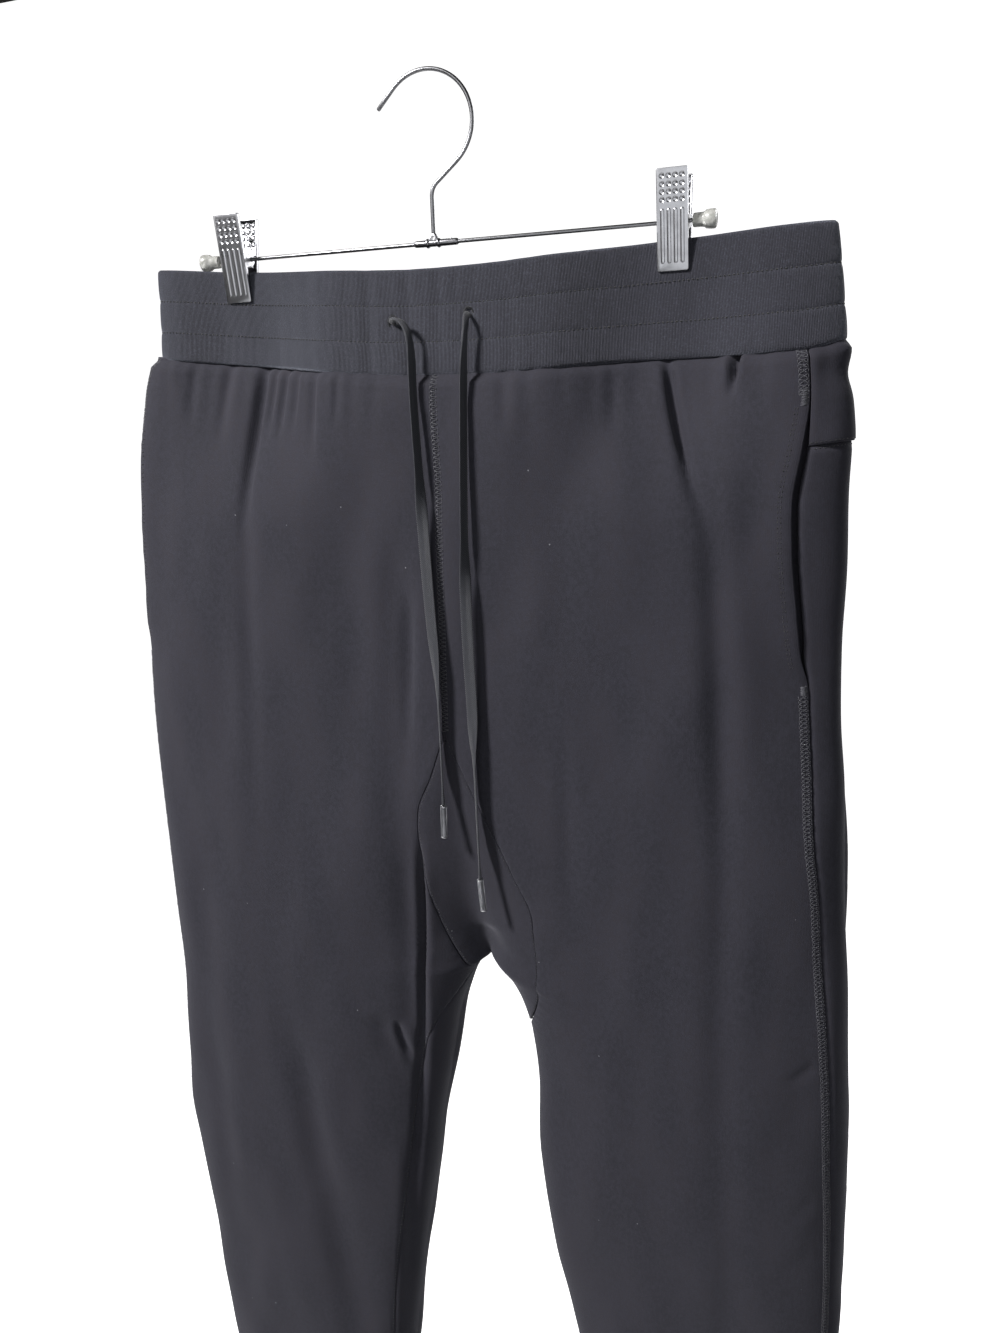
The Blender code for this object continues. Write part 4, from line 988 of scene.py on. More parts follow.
def arch_row(x):
    """The row on which the space between the legs reaches as wide as x."""
    return halve(lambda row: leg_gap(row) < abs(x - centre_x(row)), np.full(np.shape(x), CROTCH),
                 np.full(np.shape(x), 550.0))


def gusset_points(step, share):
    """step runs 0 at the front tip over 1 on the arch to 2 at the back tip; share from left to right."""
    step, share = np.broadcast_arrays(step, share)
    run = np.where(step <= 1, step, 2 - step)
    left_row, right_row = (GUSSET_TIP + (GUSSET_CORNER[half] - GUSSET_TIP) * run for half in (-1, 1))
    left = centre_x(left_row) - gusset_half[-1](left_row)
    right = centre_x(right_row) + gusset_half[1](right_row)
    x = left + (right - left) * share
    arch_left, arch_right = (inner_x(half, GUSSET_CORNER[half]) for half in (-1, 1))
    inside = np.clip(share, 0, 1)
    corner_row = GUSSET_CORNER[-1] + (GUSSET_CORNER[1] - GUSSET_CORNER[-1]) * inside
    drop = (corner_row - arch_row(arch_left + (arch_right - arch_left) * inside)) * run ** 2
    row = left_row + (right_row - left_row) * share - drop
    depth = np.where(run < 0.9999, half_depth(x, row, step <= 1), 0.0)
    return np.stack([x, np.where(step <= 1, -depth, depth), -row], -1)


class JOGGERS_OT_gusset(Maker):
    """Make the diamond gusset that folds over the arch between the legs"""

    bl_idname = "joggers.gusset"
    bl_label = "Gusset"

    def make(self, context):
        step = np.linspace(0, 2, 149)[:, None]
        width = np.linalg.norm(gusset_points(step, 1.0) - gusset_points(step, 0.0), axis=-1)
        trim = np.minimum(2 * SEAM_HALF / width, 0.3)
        share = trim + (1 - 2 * trim) * clustered(26, 80, (0.8, 1.8, 3.0))[None]
        points = gusset_points(step, share)
        forth = gusset_points(np.minimum(step + 0.01, 2), share)
        forth = forth - gusset_points(np.maximum(step - 0.01, 0), share)
        along = gusset_points(step, share + 0.02) - gusset_points(step, share - 0.02)
        normals = unit(np.cross(forth, along))
        points[[0, -1], :, 2] -= 0.6        # the tips stay clear of the seams above them
        across = run_lengths(points, 1)
        x, down = points[..., 0], -points[..., 2]
        front = np.broadcast_to(step <= 1, x.shape)
        push = crease_depth(x, down, front) - 0.4 * slack(x * 1.5, down, front)
        push = push + 0.35 * (bell(across, SIDE_ROLL) + bell(across[:, -1:] - across, SIDE_ROLL))
        uv = np.stack([across - across[:, -1:] / 2, -run_lengths(points, 0)], -1) * MM
        cloth("gusset", points - normals * push[..., None], normals, uv)


class JOGGERS_OT_pockets(Maker):
    """Make the facing behind each slanted pocket mouth"""

    bl_idname = "joggers.pockets"
    bl_label = "Pocket facings"

    def make(self, context):
        for half, side in SIDES:
            rows = rows_of((3.0, POCKET_TOP - 8, POCKET_END + 8))
            edge = side_place(half, rows, 0.0)
            start, end = (shift_place(half, edge, rows, reach) for reach in (-13.0, 8.0))
            body_panel("pocket_facing_" + side, half, rows, start, end, 9,
                       (0, 0, 0, 0), sink=6.5, wall=FACING_WALL)


# ---- Waistband and cuffs --------------------------------------------------------------------------
STITCH_LINES = (0.345, 0.687)       # the band's two stitched valleys, as shares of its height
BAND_HEIGHT, CUFF_HEIGHT = 55, 50   # mm
ROW_SWELL, VALLEY_DEPTH, VALLEY_WIDTH = 0.55, 0.3, 0.9      # the band's three rows and its valleys, in mm
BAND_WALL, CUFF_WALL = 2.2, 1.9


def powered(value, exponent):
    """A power that keeps the sign, which squares the corners of a round shape."""
    return np.sign(value) * abs(value) ** exponent


def band_points(turn, share):
    """turn runs 0 to 1 round the band from its right end over the back; share runs down it."""
    turn, share = np.broadcast_arrays(turn, share)
    left, right = band_left(share), band_right(share)
    across, deep = np.cos(2 * math.pi * turn), np.sin(2 * math.pi * turn)
    x = (left + right) / 2 + (right - left) / 2 * powered(across, 2 / ROUND_BODY)
    top, bottom = band_top(x), band_bottom(x)
    down = top + (bottom - top) * share
    depth = squeezed(band_depth(share) * abs(deep) ** (2 / ROUND_BODY), x, down)
    return np.stack([x, np.sign(deep) * depth, -down], -1)


def even_turns(count):
    """Turns that spread the columns evenly along the band's middle."""
    fine = np.linspace(0, 1, 6001)
    line = band_points(fine, 0.5)
    run = np.concatenate([[0], np.cumsum(np.linalg.norm(np.diff(line, axis=0), axis=1))])
    return np.interp(np.linspace(0, run[-1], count + 1)[:-1], run, fine), run[-1]


def ring_directions(points):
    """Outward directions of a closed grid."""
    along = np.roll(points, -1, 1) - np.roll(points, 1, 1)
    down = np.gradient(points, axis=0)
    normals = unit(np.cross(along, down))
    middle = points.mean(axis=1, keepdims=True)
    outward = np.sign(((points - middle) * normals).sum(-1).mean(1))
    return normals * outward[:, None, None]


class JOGGERS_OT_waistband(Maker):
    """Make the ribbed elastic waistband with its two stitched valleys"""

    bl_idname = "joggers.waistband"
    bl_label = "Waistband"

    def make(self, context):
        turns, girth = even_turns(440)
        valleys = [line + d for line in STITCH_LINES for d in (-0.022, -0.010, 0.0, 0.010, 0.022)]
        share = np.concatenate([np.linspace(0, 1, 37), [0.006, 0.014, 0.986, 0.994], valleys])
        share = np.unique(share.round(5))
        points = band_points(turns[None], share[:, None])
        normals = ring_directions(points)
        x, down, front = points[..., 0], -points[..., 2], points[..., 1] < 0
        s = share[:, None]
        row_share = np.interp(s, (0, *STITCH_LINES, 1), (0, 1, 2, 3)) % 1
        push = ROW_SWELL * np.sqrt(np.clip(1 - (2 * row_share - 1) ** 2, 0, 1)) - 0.1
        for line in STITCH_LINES:
            push = push - VALLEY_DEPTH * bell((s - line) * BAND_HEIGHT, VALLEY_WIDTH)
        for size, wave, bend in ((0.12, 11, 2 * np.sin(x / 17)), (0.05, 4.7, np.sin(x / 7.0))):
            push = push + size * np.sin(2 * math.pi * x / wave + bend) * np.sin(row_share * math.pi)
        slant = (s - 0.5) * 5
        for at, depth in BAND_CREASES:
            near = front * (bell(x - at - slant, 4.2) - 0.4 * bell(x - at, 11.0))
            push = push - depth * (near + ~front * bell(x - 28 + at + slant, 4.2)) * (0.5 + 0.5 * s)
        push = push * (1 - 0.7 * pinch(x, down - 20))
        edge = np.minimum(s, 1 - s) * BAND_HEIGHT
        push = push - bell(edge, 0.75)
        for x0, down0 in EYELETS.values():
            push = push - front * 1.7 * np.exp(-np.hypot((x - x0) / 2.0, (down - down0) / 2.9) ** 4)
        u, v = np.broadcast_arrays((np.arange(len(turns)) * girth / len(turns))[None], -s * BAND_HEIGHT)
        uv = np.stack([u, v], -1) * MM
        cloth("waistband", points + normals * push[..., None], normals, uv,
              rows=share,
              wall=(BAND_WALL - 0.9 * bell(edge, 0.8))[..., None], elastic=True)


class JOGGERS_OT_cuffs(Maker):
    """Make a plain ribbed cuff at each ankle"""

    bl_idname = "joggers.cuffs"
    bl_label = "Cuffs"

    def make(self, context):
        for half, side in SIDES:
            near, far = float(inner_x(half, ANKLE_ROW)), float(outer_x(half, ANKLE_ROW))
            down = np.concatenate([[0.3, 0.8, 1.6], np.linspace(3, 46, 22), [48.4, 49.3, CUFF_HEIGHT]])
            down = down[:, None]
            angle = (np.arange(220) / 220 * 2 * math.pi)[None]
            narrow = 6.0 * ramp(down, 0.3, 14.3)
            reach, depth = abs(far - near) / 2 - narrow, float(body_depth(ANKLE_ROW)) - narrow * 0.4
            x = (near + far) / 2 + reach * powered(np.cos(angle), 2 / ROUND_LEG)
            y = depth * powered(np.sin(angle), 2 / ROUND_LEG)
            points = np.stack(np.broadcast_arrays(x, y, -(ANKLE_ROW + down)), -1)
            normals = ring_directions(points)
            swell = 0.25 * np.sin(angle * 23 + down / 9) * np.sin(down / CUFF_HEIGHT * math.pi)
            swell = swell - 0.9 * bell(np.minimum(down, CUFF_HEIGHT - down), 0.9)
            uv = np.stack(np.broadcast_arrays(angle * (reach + depth) / 2 * 1.05, -down), -1) * MM
            cloth("cuff_" + side, points + normals * swell[..., None], normals, uv,
                  wall=CUFF_WALL, elastic=True)


# ---- Sewing ---------------------------------------------------------------------------------------
COVER_ROWS = (0.8, 3.2, 5.6)        # needle rows of the cover seams, mm from the panel's edge
NEVER, ALWAYS = -1e9, 1e9


def edge_line(panel, side, distance, low=NEVER, high=ALWAYS):
    """Points and outward directions on a panel beside one of its edges, between two depths, in mm."""
    outer, normals = PANELS[panel][:2]
    if side in ("top", "bottom"):
        outer, normals = outer.swapaxes(0, 1), normals.swapaxes(0, 1)
    if side in ("last", "bottom"):
        outer, normals = outer[:, ::-1], normals[:, ::-1]
    run = run_lengths(outer, 1)
    line = np.arange(len(outer))
    after = np.argmax(run > distance, axis=1)
    before = after - 1
    share = ((distance - run[line, before]) / (run[line, after] - run[line, before]))[:, None]
    points = outer[line, before] * (1 - share) + outer[line, after] * share
    directions = unit(normals[line, before] * (1 - share) + normals[line, after] * share)
    keep = (-points[:, 2] > low) & (-points[:, 2] < high)
    return points[keep], directions[keep]


def along_line(line, place):
    """Points and directions at places from 0 to 1 along a line."""
    run = run_lengths(line[0], 0)
    picked = [np.stack([np.interp(place * run[-1], run, grid[:, k]) for k in range(3)], -1) for grid in line]
    return picked[0], unit(picked[1])


def thread(starts, ends, directions, radius=0.2, rise=0.3, sink=0.15):
    """Threads that leave the cloth, arch over it and go back in, each of three rings of four corners."""
    ahead = unit(ends - starts)
    side = unit(np.cross(ahead, directions))
    up = np.cross(side, ahead)
    centres = np.stack([starts - directions * sink, (starts + ends) / 2 + directions * rise,
                        ends - directions * sink], 1)
    angle = (np.arange(4) * math.pi / 2)[None, :, None]
    ring = side[:, None] * np.cos(angle) + up[:, None] * np.sin(angle)
    thick = np.array([0.75, 1.0, 0.75])[None, :, None, None] * radius
    return centres[:, :, None] + ring[:, None] * thick


def dashes(line, pitch, fill=0.7, **shape):
    """Single stitches along a line."""
    count = int(run_lengths(line[0], 0)[-1] / pitch)
    middle = (np.arange(count) + 0.5) / count
    starts, directions = along_line(line, middle - fill / 2 / count)
    ends = along_line(line, middle + fill / 2 / count)[0]
    return thread(starts, ends, directions, **shape)


def cover_seam(lines, pitch):
    """Needle stitches on every line and the looper's thread to and fro between neighbours."""
    parts = [dashes(line, pitch) for line in lines]
    count = int(run_lengths(lines[0][0], 0)[-1] / pitch)
    place = np.arange(count) / count
    for k, (first, second) in enumerate(zip(lines, lines[1:])):
        shift = 0.5 * (k % 2) / count
        near, directions = along_line(first, place + shift)
        far = along_line(second, place + shift + 0.5 / count)[0]
        again = along_line(first, place + shift + 1.0 / count)[0]
        parts += [thread(near, far, directions, rise=0.45), thread(far, again, directions, rise=0.45)]
    return np.concatenate(parts)


def sew(name, parts, finish, seed):
    """One piece of all these threads, each a little out of line."""
    corners = np.concatenate(parts)
    chance = np.random.default_rng(seed)
    corners = corners + chance.normal(0, 0.07, (len(corners), 3, 1, 3))
    walls = [(r * 4 + k, (r + 1) * 4 + k, (r + 1) * 4 + (k + 1) % 4, r * 4 + (k + 1) % 4)
             for r in (0, 1) for k in range(4)]
    pattern = np.array(walls + [(0, 1, 2, 3), (11, 10, 9, 8)])
    faces = (np.arange(len(corners))[:, None, None] * 12 + pattern[None]).reshape(-1, 4)
    dress(new_object(name, corners.reshape(-1, 3) * MM, faces.tolist(), finish), [])


# Single rows of stitches, on the panels of each side and then on those between them.
# panel, edge, distance from it, pitch, share of the pitch that a stitch fills, then where it starts and ends.
SIDE_ROWS = (
    ("front_%s", "last", 5.4, 2.5, 0.6, POCKET_TOP + 2, POCKET_END - 6),
    ("front_%s", "last", 6.8, 2.5, 0.6, POCKET_TOP + 2, POCKET_END - 6),
    ("front_%s", "first", 1.3, 2.5, 0.6, CROTCH + 40, ALWAYS),
    ("front_%s", "bottom", 1.6, 2.3, 0.7, NEVER, ALWAYS), ("back_%s", "bottom", 1.6, 2.3, 0.7, NEVER, ALWAYS),
    ("back_%s", "top", 1.4, 2.3, 0.7, NEVER, ALWAYS),
)
MIDDLE_ROWS = (
    ("back_yoke", "bottom", 1.5, 2.3, 0.7, NEVER, ALWAYS),
    ("gusset", "first", 1.2, 2.3, 0.6, NEVER, ALWAYS), ("gusset", "last", 1.2, 2.3, 0.6, NEVER, ALWAYS),
)


class JOGGERS_OT_stitching(Maker):
    """Sew the seams: cover seams, top stitching, the band's stitched rows, bartacks and buttonholes"""

    bl_idname = "joggers.stitching"
    bl_label = "Stitching"

    def make(self, context):
        pitch = cloth_settings().stitch / MM
        bright = finish_of("sewing thread", thread_finish, cloth_settings().thread_colour)
        # Thread darkened as painted shade, for the stitches that sink into the cloth and for the buttonholes.
        shade_dark = shade_dark_thread()
        covers = []
        for side in ("right", "left"):
            front = "front_" + side
            for low, high in ((NEVER, POCKET_TOP - 1), (POCKET_END + 3, ALWAYS)):
                covers.append(cover_seam([edge_line(front, "last", d, low, high) for d in COVER_ROWS], pitch))
            for low in (POCKET_TOP - 2, POCKET_END):        # bartacks
                (starts, directions), (ends, _) = (
                    along_line(edge_line(front, "last", d, low - 3, low + 7), np.linspace(0, 1, 14))
                    for d in (0.6, 4.6))
                covers.append(thread(starts, ends, directions, radius=0.24, rise=0.5))
        for panel, edge, low in (("front_", "first", NEVER), ("back_", "last", YOKE_ROW)):
            covers.append(cover_seam([edge_line(panel + side, edge, 1.7, low, GUSSET_TIP - 2)
                                      for side in ("right", "left")], pitch))
        single = [(panel % side, *row) for side in ("right", "left") for panel, *row in SIDE_ROWS]
        plain = [dashes(edge_line(panel, edge, distance, low, high), step, fill, rise=0.1)
                 for panel, edge, distance, step, fill, low, high in (*single, *MIDDLE_ROWS)]
        sew("cover_seam_thread", covers, bright, 3)
        sew("top_stitch_thread", plain, shade_dark, 5)
        outer, normals, shares = PANELS["waistband"]
        closed = np.append(np.arange(outer.shape[1]), 0)
        valleys = [int(np.argmin(abs(shares - line))) for line in STITCH_LINES]
        rows = [dashes((outer[k, closed], normals[k, closed]), 2.3, 0.5, radius=0.44, rise=0.32, sink=0.1)
                for k in valleys]
        sew("band_stitch_thread", rows, shade_dark, 7)
        turn = (np.arange(30) / 30 * 2 * math.pi)[:, None]
        reach = np.concatenate([np.cos(turn), 0 * turn, np.sin(turn)], 1)
        toward = np.broadcast_to([0.0, -1.0, 0.0], reach.shape)
        rings = []
        for x0, down0 in EYELETS.values():
            flat = np.hypot((outer[..., 0] - x0) / 3.4, (-outer[..., 2] - down0) / 4.4)
            near = (flat > 0.9) & (flat < 1.4) & (outer[..., 1] < 0)
            centre = np.array([x0, outer[near][:, 1].mean(), -down0])
            rings.append(thread(centre + reach * (2.0, 0, 2.9) + (0, 0.5, 0), centre + reach * (3.3, 0, 4.2),
                                toward, radius=0.24, rise=0.35, sink=0.0))
        sew("buttonhole_thread", rings, shade_dark, 9)


# ---- Drawstrings ----------------------------------------------------------------------------------
TAPE_WIDTH, TAPE_THICK, CURL_WIDTH, CURL_THICK, TAPE_CORNERS = 6.4, 1.0, 3.4, 1.9, 20
# How the tapes twist: down, degrees that the face turns towards the wearer's left.
TAPE_TURN = {
    "left": ((124, -40), (140, -72), (200, -68), (238, -6), (290, 8), (332, 62), (390, 66)),
    "right": ((122, -40), (138, -72), (235, -70), (275, -14), (335, 4), (368, 62), (433, 66)),
}
AGLET_LENGTH, AGLET_RADIUS, AGLET_LEAN = 19.5, 1.9, {"left": -0.5, "right": 1.4}


def route(points, count):
    """Evenly spread points on a smooth curve through the route's own points, in mm."""
    spots = np.array(points, float)
    padded = np.concatenate([[2 * spots[0] - spots[1]], spots, [2 * spots[-1] - spots[-2]]])
    dense = []
    for a, b, c, d in zip(padded, padded[1:], padded[2:], padded[3:]):
        for t in np.arange(12) / 12:
            dense.append(0.5 * (2 * b + (c - a) * t + (2 * a - 5 * b + 4 * c - d) * t ** 2
                                + (3 * b - a - 3 * c + d) * t ** 3))
    dense = np.array(dense + [spots[-1]])
    run = np.concatenate([[0], np.cumsum(np.linalg.norm(np.diff(dense, axis=0), axis=1))])
    even = np.linspace(0, run[-1], count)
    return np.stack([np.interp(even, run, dense[:, k]) for k in range(3)], -1), run[-1]


class JOGGERS_OT_drawstrings(Maker):
    """Make both flat drawstrings, which leave their eyelets curled and open out below, and their aglets"""

    bl_idname = "joggers.drawstrings"
    bl_label = "Drawstrings"

    def make(self, context):
        finish = finish_of("woven tape", tape_finish, cloth_settings().tape_colour)
        metal = finish_of("dull metal", plated, (0.62, 0.62, 0.64), 0.30)
        angle = (np.arange(TAPE_CORNERS) + 0.5) / TAPE_CORNERS * 2 * math.pi
        flat_x, flat_y = powered(np.cos(angle), 0.55), powered(np.sin(angle), 0.75)
        flat_y_grooved = flat_y - 0.12 * bell(flat_x, 0.12) * np.sign(flat_y)
        for side, table in (("left", CORD_LEFT), ("right", CORD_RIGHT)):
            spots, length = route([(x, y, -down) for x, y, down in table], 170)
            run = np.linspace(0, length, len(spots))
            ahead = unit(np.gradient(spots, axis=0))
            across = unit(np.array([1.0, 0, 0]) - ahead * ahead[:, :1])
            face = np.cross(ahead, across)
            turn = np.radians(curve_of(TAPE_TURN[side])(-spots[:, 2]))[:, None]
            wide = across * np.cos(turn) + face * np.sin(turn)
            thick = face * np.cos(turn) - across * np.sin(turn)
            opening = ramp(run, 12, 40)
            flat_width, flat_thick = (opening * (1 - ramp(run, length - low, length - high))
                                      for low, high in ((22, 1), (12, 0)))
            width = CURL_WIDTH + (TAPE_WIDTH - CURL_WIDTH) * flat_width
            depth = CURL_THICK + (TAPE_THICK - CURL_THICK) * flat_thick
            u = width[:, None] / 2 * flat_x
            rings = (spots[:, None] + wide[:, None] * u[..., None]
                     + thick[:, None] * (depth[:, None] / 2 * flat_y_grooved)[..., None])
            start = np.arange((len(spots) - 1) * TAPE_CORNERS)
            after = start + np.where(start % TAPE_CORNERS == TAPE_CORNERS - 1, 1 - TAPE_CORNERS, 1)
            faces = np.stack([start, after, after + TAPE_CORNERS, start + TAPE_CORNERS], -1).tolist()
            faces += [list(range(TAPE_CORNERS))[::-1], [start[-1] + 1 + k for k in range(TAPE_CORNERS)]]
            uv = np.stack(np.broadcast_arrays(u, run[:, None]), -1).reshape(-1, 2) * MM
            tape = new_object("drawstring_%s_tape" % side, rings.reshape(-1, 3) * MM, faces, finish, uv)
            face_outward(tape)
            dress(tape, ["drawstring_" + side])
            aglet = dress(make_aglet(side, spots[-1] * MM, metal), ["aglet_" + side])


def face_outward(piece):
    """Turn every face of a closed mesh outward."""
    mesh = bmesh.new()
    mesh.from_mesh(piece.data)
    bmesh.ops.recalc_face_normals(mesh, faces=mesh.faces)
    mesh.to_mesh(piece.data)
    mesh.free()


# ---- Steps of modelling ---------------------------------------------------------------------------
ALONG_X, ALONG_Y, ALONG_Z = (0, math.pi / 2, 0), (math.pi / 2, 0, 0), (0, 0, 0)     # turns of a primitive


def select_only(made):
    bpy.ops.object.select_all(action="DESELECT")
    made.select_set(True)
    bpy.context.view_layer.objects.active = made


def apply_move(made, matrix=None):
    """Write an object's place, or the one that is given, into its mesh."""
    if matrix is not None:
        made.matrix_world = matrix
    select_only(made)
    bpy.ops.object.transform_apply(location=True, rotation=True, scale=True)


def primitive(add, name, place=(0, 0, 0), scale=(1, 1, 1), **named):
    """The object that a primitive operator adds at a place in mm, named, with its place applied."""
    bpy.ops.object.select_all(action="DESELECT")
    add(location=[c * MM for c in place], **named)
    made = bpy.context.object
    made.name = made.data.name = name
    made.scale = scale
    apply_move(made)
    return made


def cylinder(name, radius, length, place=(0, 0, 0), turn=ALONG_X, vertices=32):
    return primitive(bpy.ops.mesh.primitive_cylinder_add, name, place, vertices=vertices, radius=radius * MM,
                     depth=length * MM, rotation=turn)


def block(name, low, high):
    return primitive(bpy.ops.mesh.primitive_cube_add, name, [(a + b) / 2 for a, b in zip(low, high)],
                     [(b - a) * MM for a, b in zip(low, high)], size=1)


def ring(name, radius, place, turn, vertices):
    """An open ring, all of it selected in edit mode, for the extrusions that follow."""
    made = primitive(bpy.ops.mesh.primitive_circle_add, name, place, vertices=vertices, radius=radius * MM,
                     fill_type="NOTHING", rotation=turn)
    bpy.ops.object.mode_set(mode="EDIT")
    bpy.ops.mesh.select_mode(type="VERT")
    bpy.ops.mesh.select_all(action="SELECT")
    return made


def close_up():
    """Fill the open rings, turn the faces outward and leave edit mode."""
    bpy.ops.mesh.select_all(action="SELECT")
    bpy.ops.mesh.fill_holes(sides=0)
    bpy.ops.mesh.normals_make_consistent(inside=False)
    bpy.ops.object.mode_set(mode="OBJECT")


def extrude(x, y, z):
    """Extrude what is selected, by so many mm."""
    bpy.ops.mesh.extrude_region_move(TRANSFORM_OT_translate={"value": (x * MM, y * MM, z * MM)})


def resize(scale, about):
    bpy.ops.transform.resize(value=scale, center_override=[c * MM for c in about])


def pick(made, chosen, kind="FACE"):
    """Enter edit mode with the faces or edges that the function picks selected, in this select mode."""
    select_only(made)
    bpy.ops.object.mode_set(mode="EDIT")
    bpy.ops.mesh.select_mode(type=kind)
    bpy.ops.mesh.select_all(action="DESELECT")
    bpy.ops.object.mode_set(mode="OBJECT")
    for element in made.data.edges if kind == "EDGE" else made.data.polygons:
        element.select = chosen(element)
    bpy.ops.object.mode_set(mode="EDIT")


def apply_modifier(made, kind, **settings):
    step = made.modifiers.new(kind, kind)
    for key, setting in settings.items():
        setattr(step, key, setting)
    select_only(made)
    bpy.ops.object.modifier_apply(modifier=step.name)


def boolean(made, other, operation):
    """Cut or join another object into this one and delete that object."""
    apply_modifier(made, "BOOLEAN", object=other, operation=operation, solver="MANIFOLD")
    bpy.data.objects.remove(other, do_unlink=True)


def finish_hard(made, material, edge=0.0, segments=2, angle=35, smooth=35):
    """Round the sharp edges by so many mm, shade the rest smooth and give the material."""
    if edge:
        apply_modifier(made, "BEVEL", width=edge * MM, segments=segments, angle_limit=math.radians(angle))
    select_only(made)
    bpy.ops.object.shade_smooth_by_angle(angle=math.radians(smooth))
    made.data.materials.clear()
    made.data.materials.append(material)
    return made


def copy_of(made, matrix):
    """A copy with a mesh of its own, moved."""
    other = made.copy()
    other.data = made.data.copy()
    bpy.context.scene.collection.objects.link(other)
    apply_move(other, matrix)
    return other


def make_aglet(side, end, metal):
    """A crimped metal tube that hangs from the tape's end."""
    lean = math.atan2(AGLET_LEAN[side], AGLET_LENGTH)
    top = Vector(end) - Vector((0, 0, 0.3 * MM))
    middle = top + Vector((AGLET_LEAN[side], 0, -AGLET_LENGTH)) * MM / 2
    made = cylinder("aglet_%s_metal" % side, AGLET_RADIUS, AGLET_LENGTH, turn=ALONG_Z, vertices=28)
    pick(made, lambda f: abs(f.normal.z) > 0.9, "VERT")
    bpy.ops.mesh.inset(thickness=0.5 * MM)
    bpy.ops.mesh.extrude_faces_move(TRANSFORM_OT_shrink_fatten={"value": -0.6 * MM})
    bpy.ops.object.mode_set(mode="OBJECT")
    finish_hard(made, metal, 0.3, angle=40, smooth=50)
    apply_move(made, Matrix.Translation(middle) @ Matrix.Rotation(-lean, 4, "Y"))
    return made


# ---- Hanger ---------------------------------------------------------------------------------------
HOOK_CENTRE, HOOK_FROM, HOOK_TO, HOOK_TIP = (-1.4, -24.4), -51.0, 135.0, 12.3
SHANK_FOOT, SHANK_CORNER, SHANK_ROUND = -78.0, -56.0, 4.0
BAR_LEFT, BAR_RIGHT = -132.4, 137.8
CLIP_TOP, CLIP_BOTTOM, CLIP_WIDTH = -60.0, -107.0, 15.5
CLIP_SHEET, CLIP_LIP, CLIP_FOOT_Y, CLIP_TOP_Y = 0.8, 2.3, 4.3, 11.5
DIMPLE_ROWS, DIMPLE_PITCH, DIMPLE_RADIUS, DIMPLE_DEPTH = (0.075, 0.154, 0.228, 0.303), 3.27, 1.4, 0.55
FLUTE_FROM, FLUTE_TO, FLUTE_RADIUS, FLUTE_RISE = 0.385, 0.925, 1.05, 0.55


KNOB_LENGTH = 11.8
# A knob's outline from the bar outward. share of its length, radius.
KNOB = (
    (0.0, 2.6), (0.03, 3.2), (0.08, 3.4), (0.40, 3.45), (0.50, 3.8), (0.56, 4.4), (0.75, 4.68), (0.90, 4.7),
    (0.97, 4.3), (1.0, 3.5),
)


def turned(name, profile, vertices=32):
    """A body turned about the bar's line: a ring that is extruded and resized from step to step."""
    made = ring(name, profile[0][1], (profile[0][0], 0, BAR_LINE), ALONG_X, vertices)
    for (x, r), (next_x, next_r) in zip(profile, profile[1:]):
        extrude(next_x - x, 0, 0)
        if abs(next_r - r) > 1e-9:
            resize((1, next_r / r, next_r / r), (next_x, 0, BAR_LINE))
    close_up()
    return made


def make_hook(metal):
    """Shank, rounded shoulder, three quarters of a circle and a straight tip, from one ring."""
    radius = hanger_settings().hook_radius / MM
    first, last = math.radians(HOOK_FROM), math.radians(HOOK_TO)
    centre, corner = Vector((HOOK_CENTRE[0], 0, HOOK_CENTRE[1])), Vector((0, 0, SHANK_CORNER))
    start, end = (centre + Vector((math.cos(turn), 0, math.sin(turn))) * radius for turn in (first, last))
    towards = (start - corner).normalized()
    bend = math.pi / 2 - math.atan2(towards.z, towards.x)
    made = ring("hook_wire", hanger_settings().hook_wire / 2 / MM, (0, 0, SHANK_FOOT), ALONG_Z, 20)
    for _ in range(3):
        extrude(0, 0, (SHANK_CORNER - SHANK_ROUND - SHANK_FOOT) / 3)
    bpy.ops.mesh.spin(steps=8, angle=-bend, axis=(0, 1, 0), center=(
        SHANK_ROUND / math.tan(bend / 2) * MM, 0, (SHANK_CORNER - SHANK_ROUND) * MM))
    extrude(*towards * ((start - corner).length - SHANK_ROUND))
    bpy.ops.mesh.spin(steps=52, angle=last - first, axis=(0, 1, 0), center=centre * MM)
    along = Vector((-math.sin(last), 0, math.cos(last)))
    for step, shrink in ((HOOK_TIP, 1.0), (0.35, 0.86), (0.25, 0.62)):
        extrude(*along * step)
        end = end + along * step
        resize((shrink,) * 3, end)
    close_up()
    return finish_hard(made, metal)


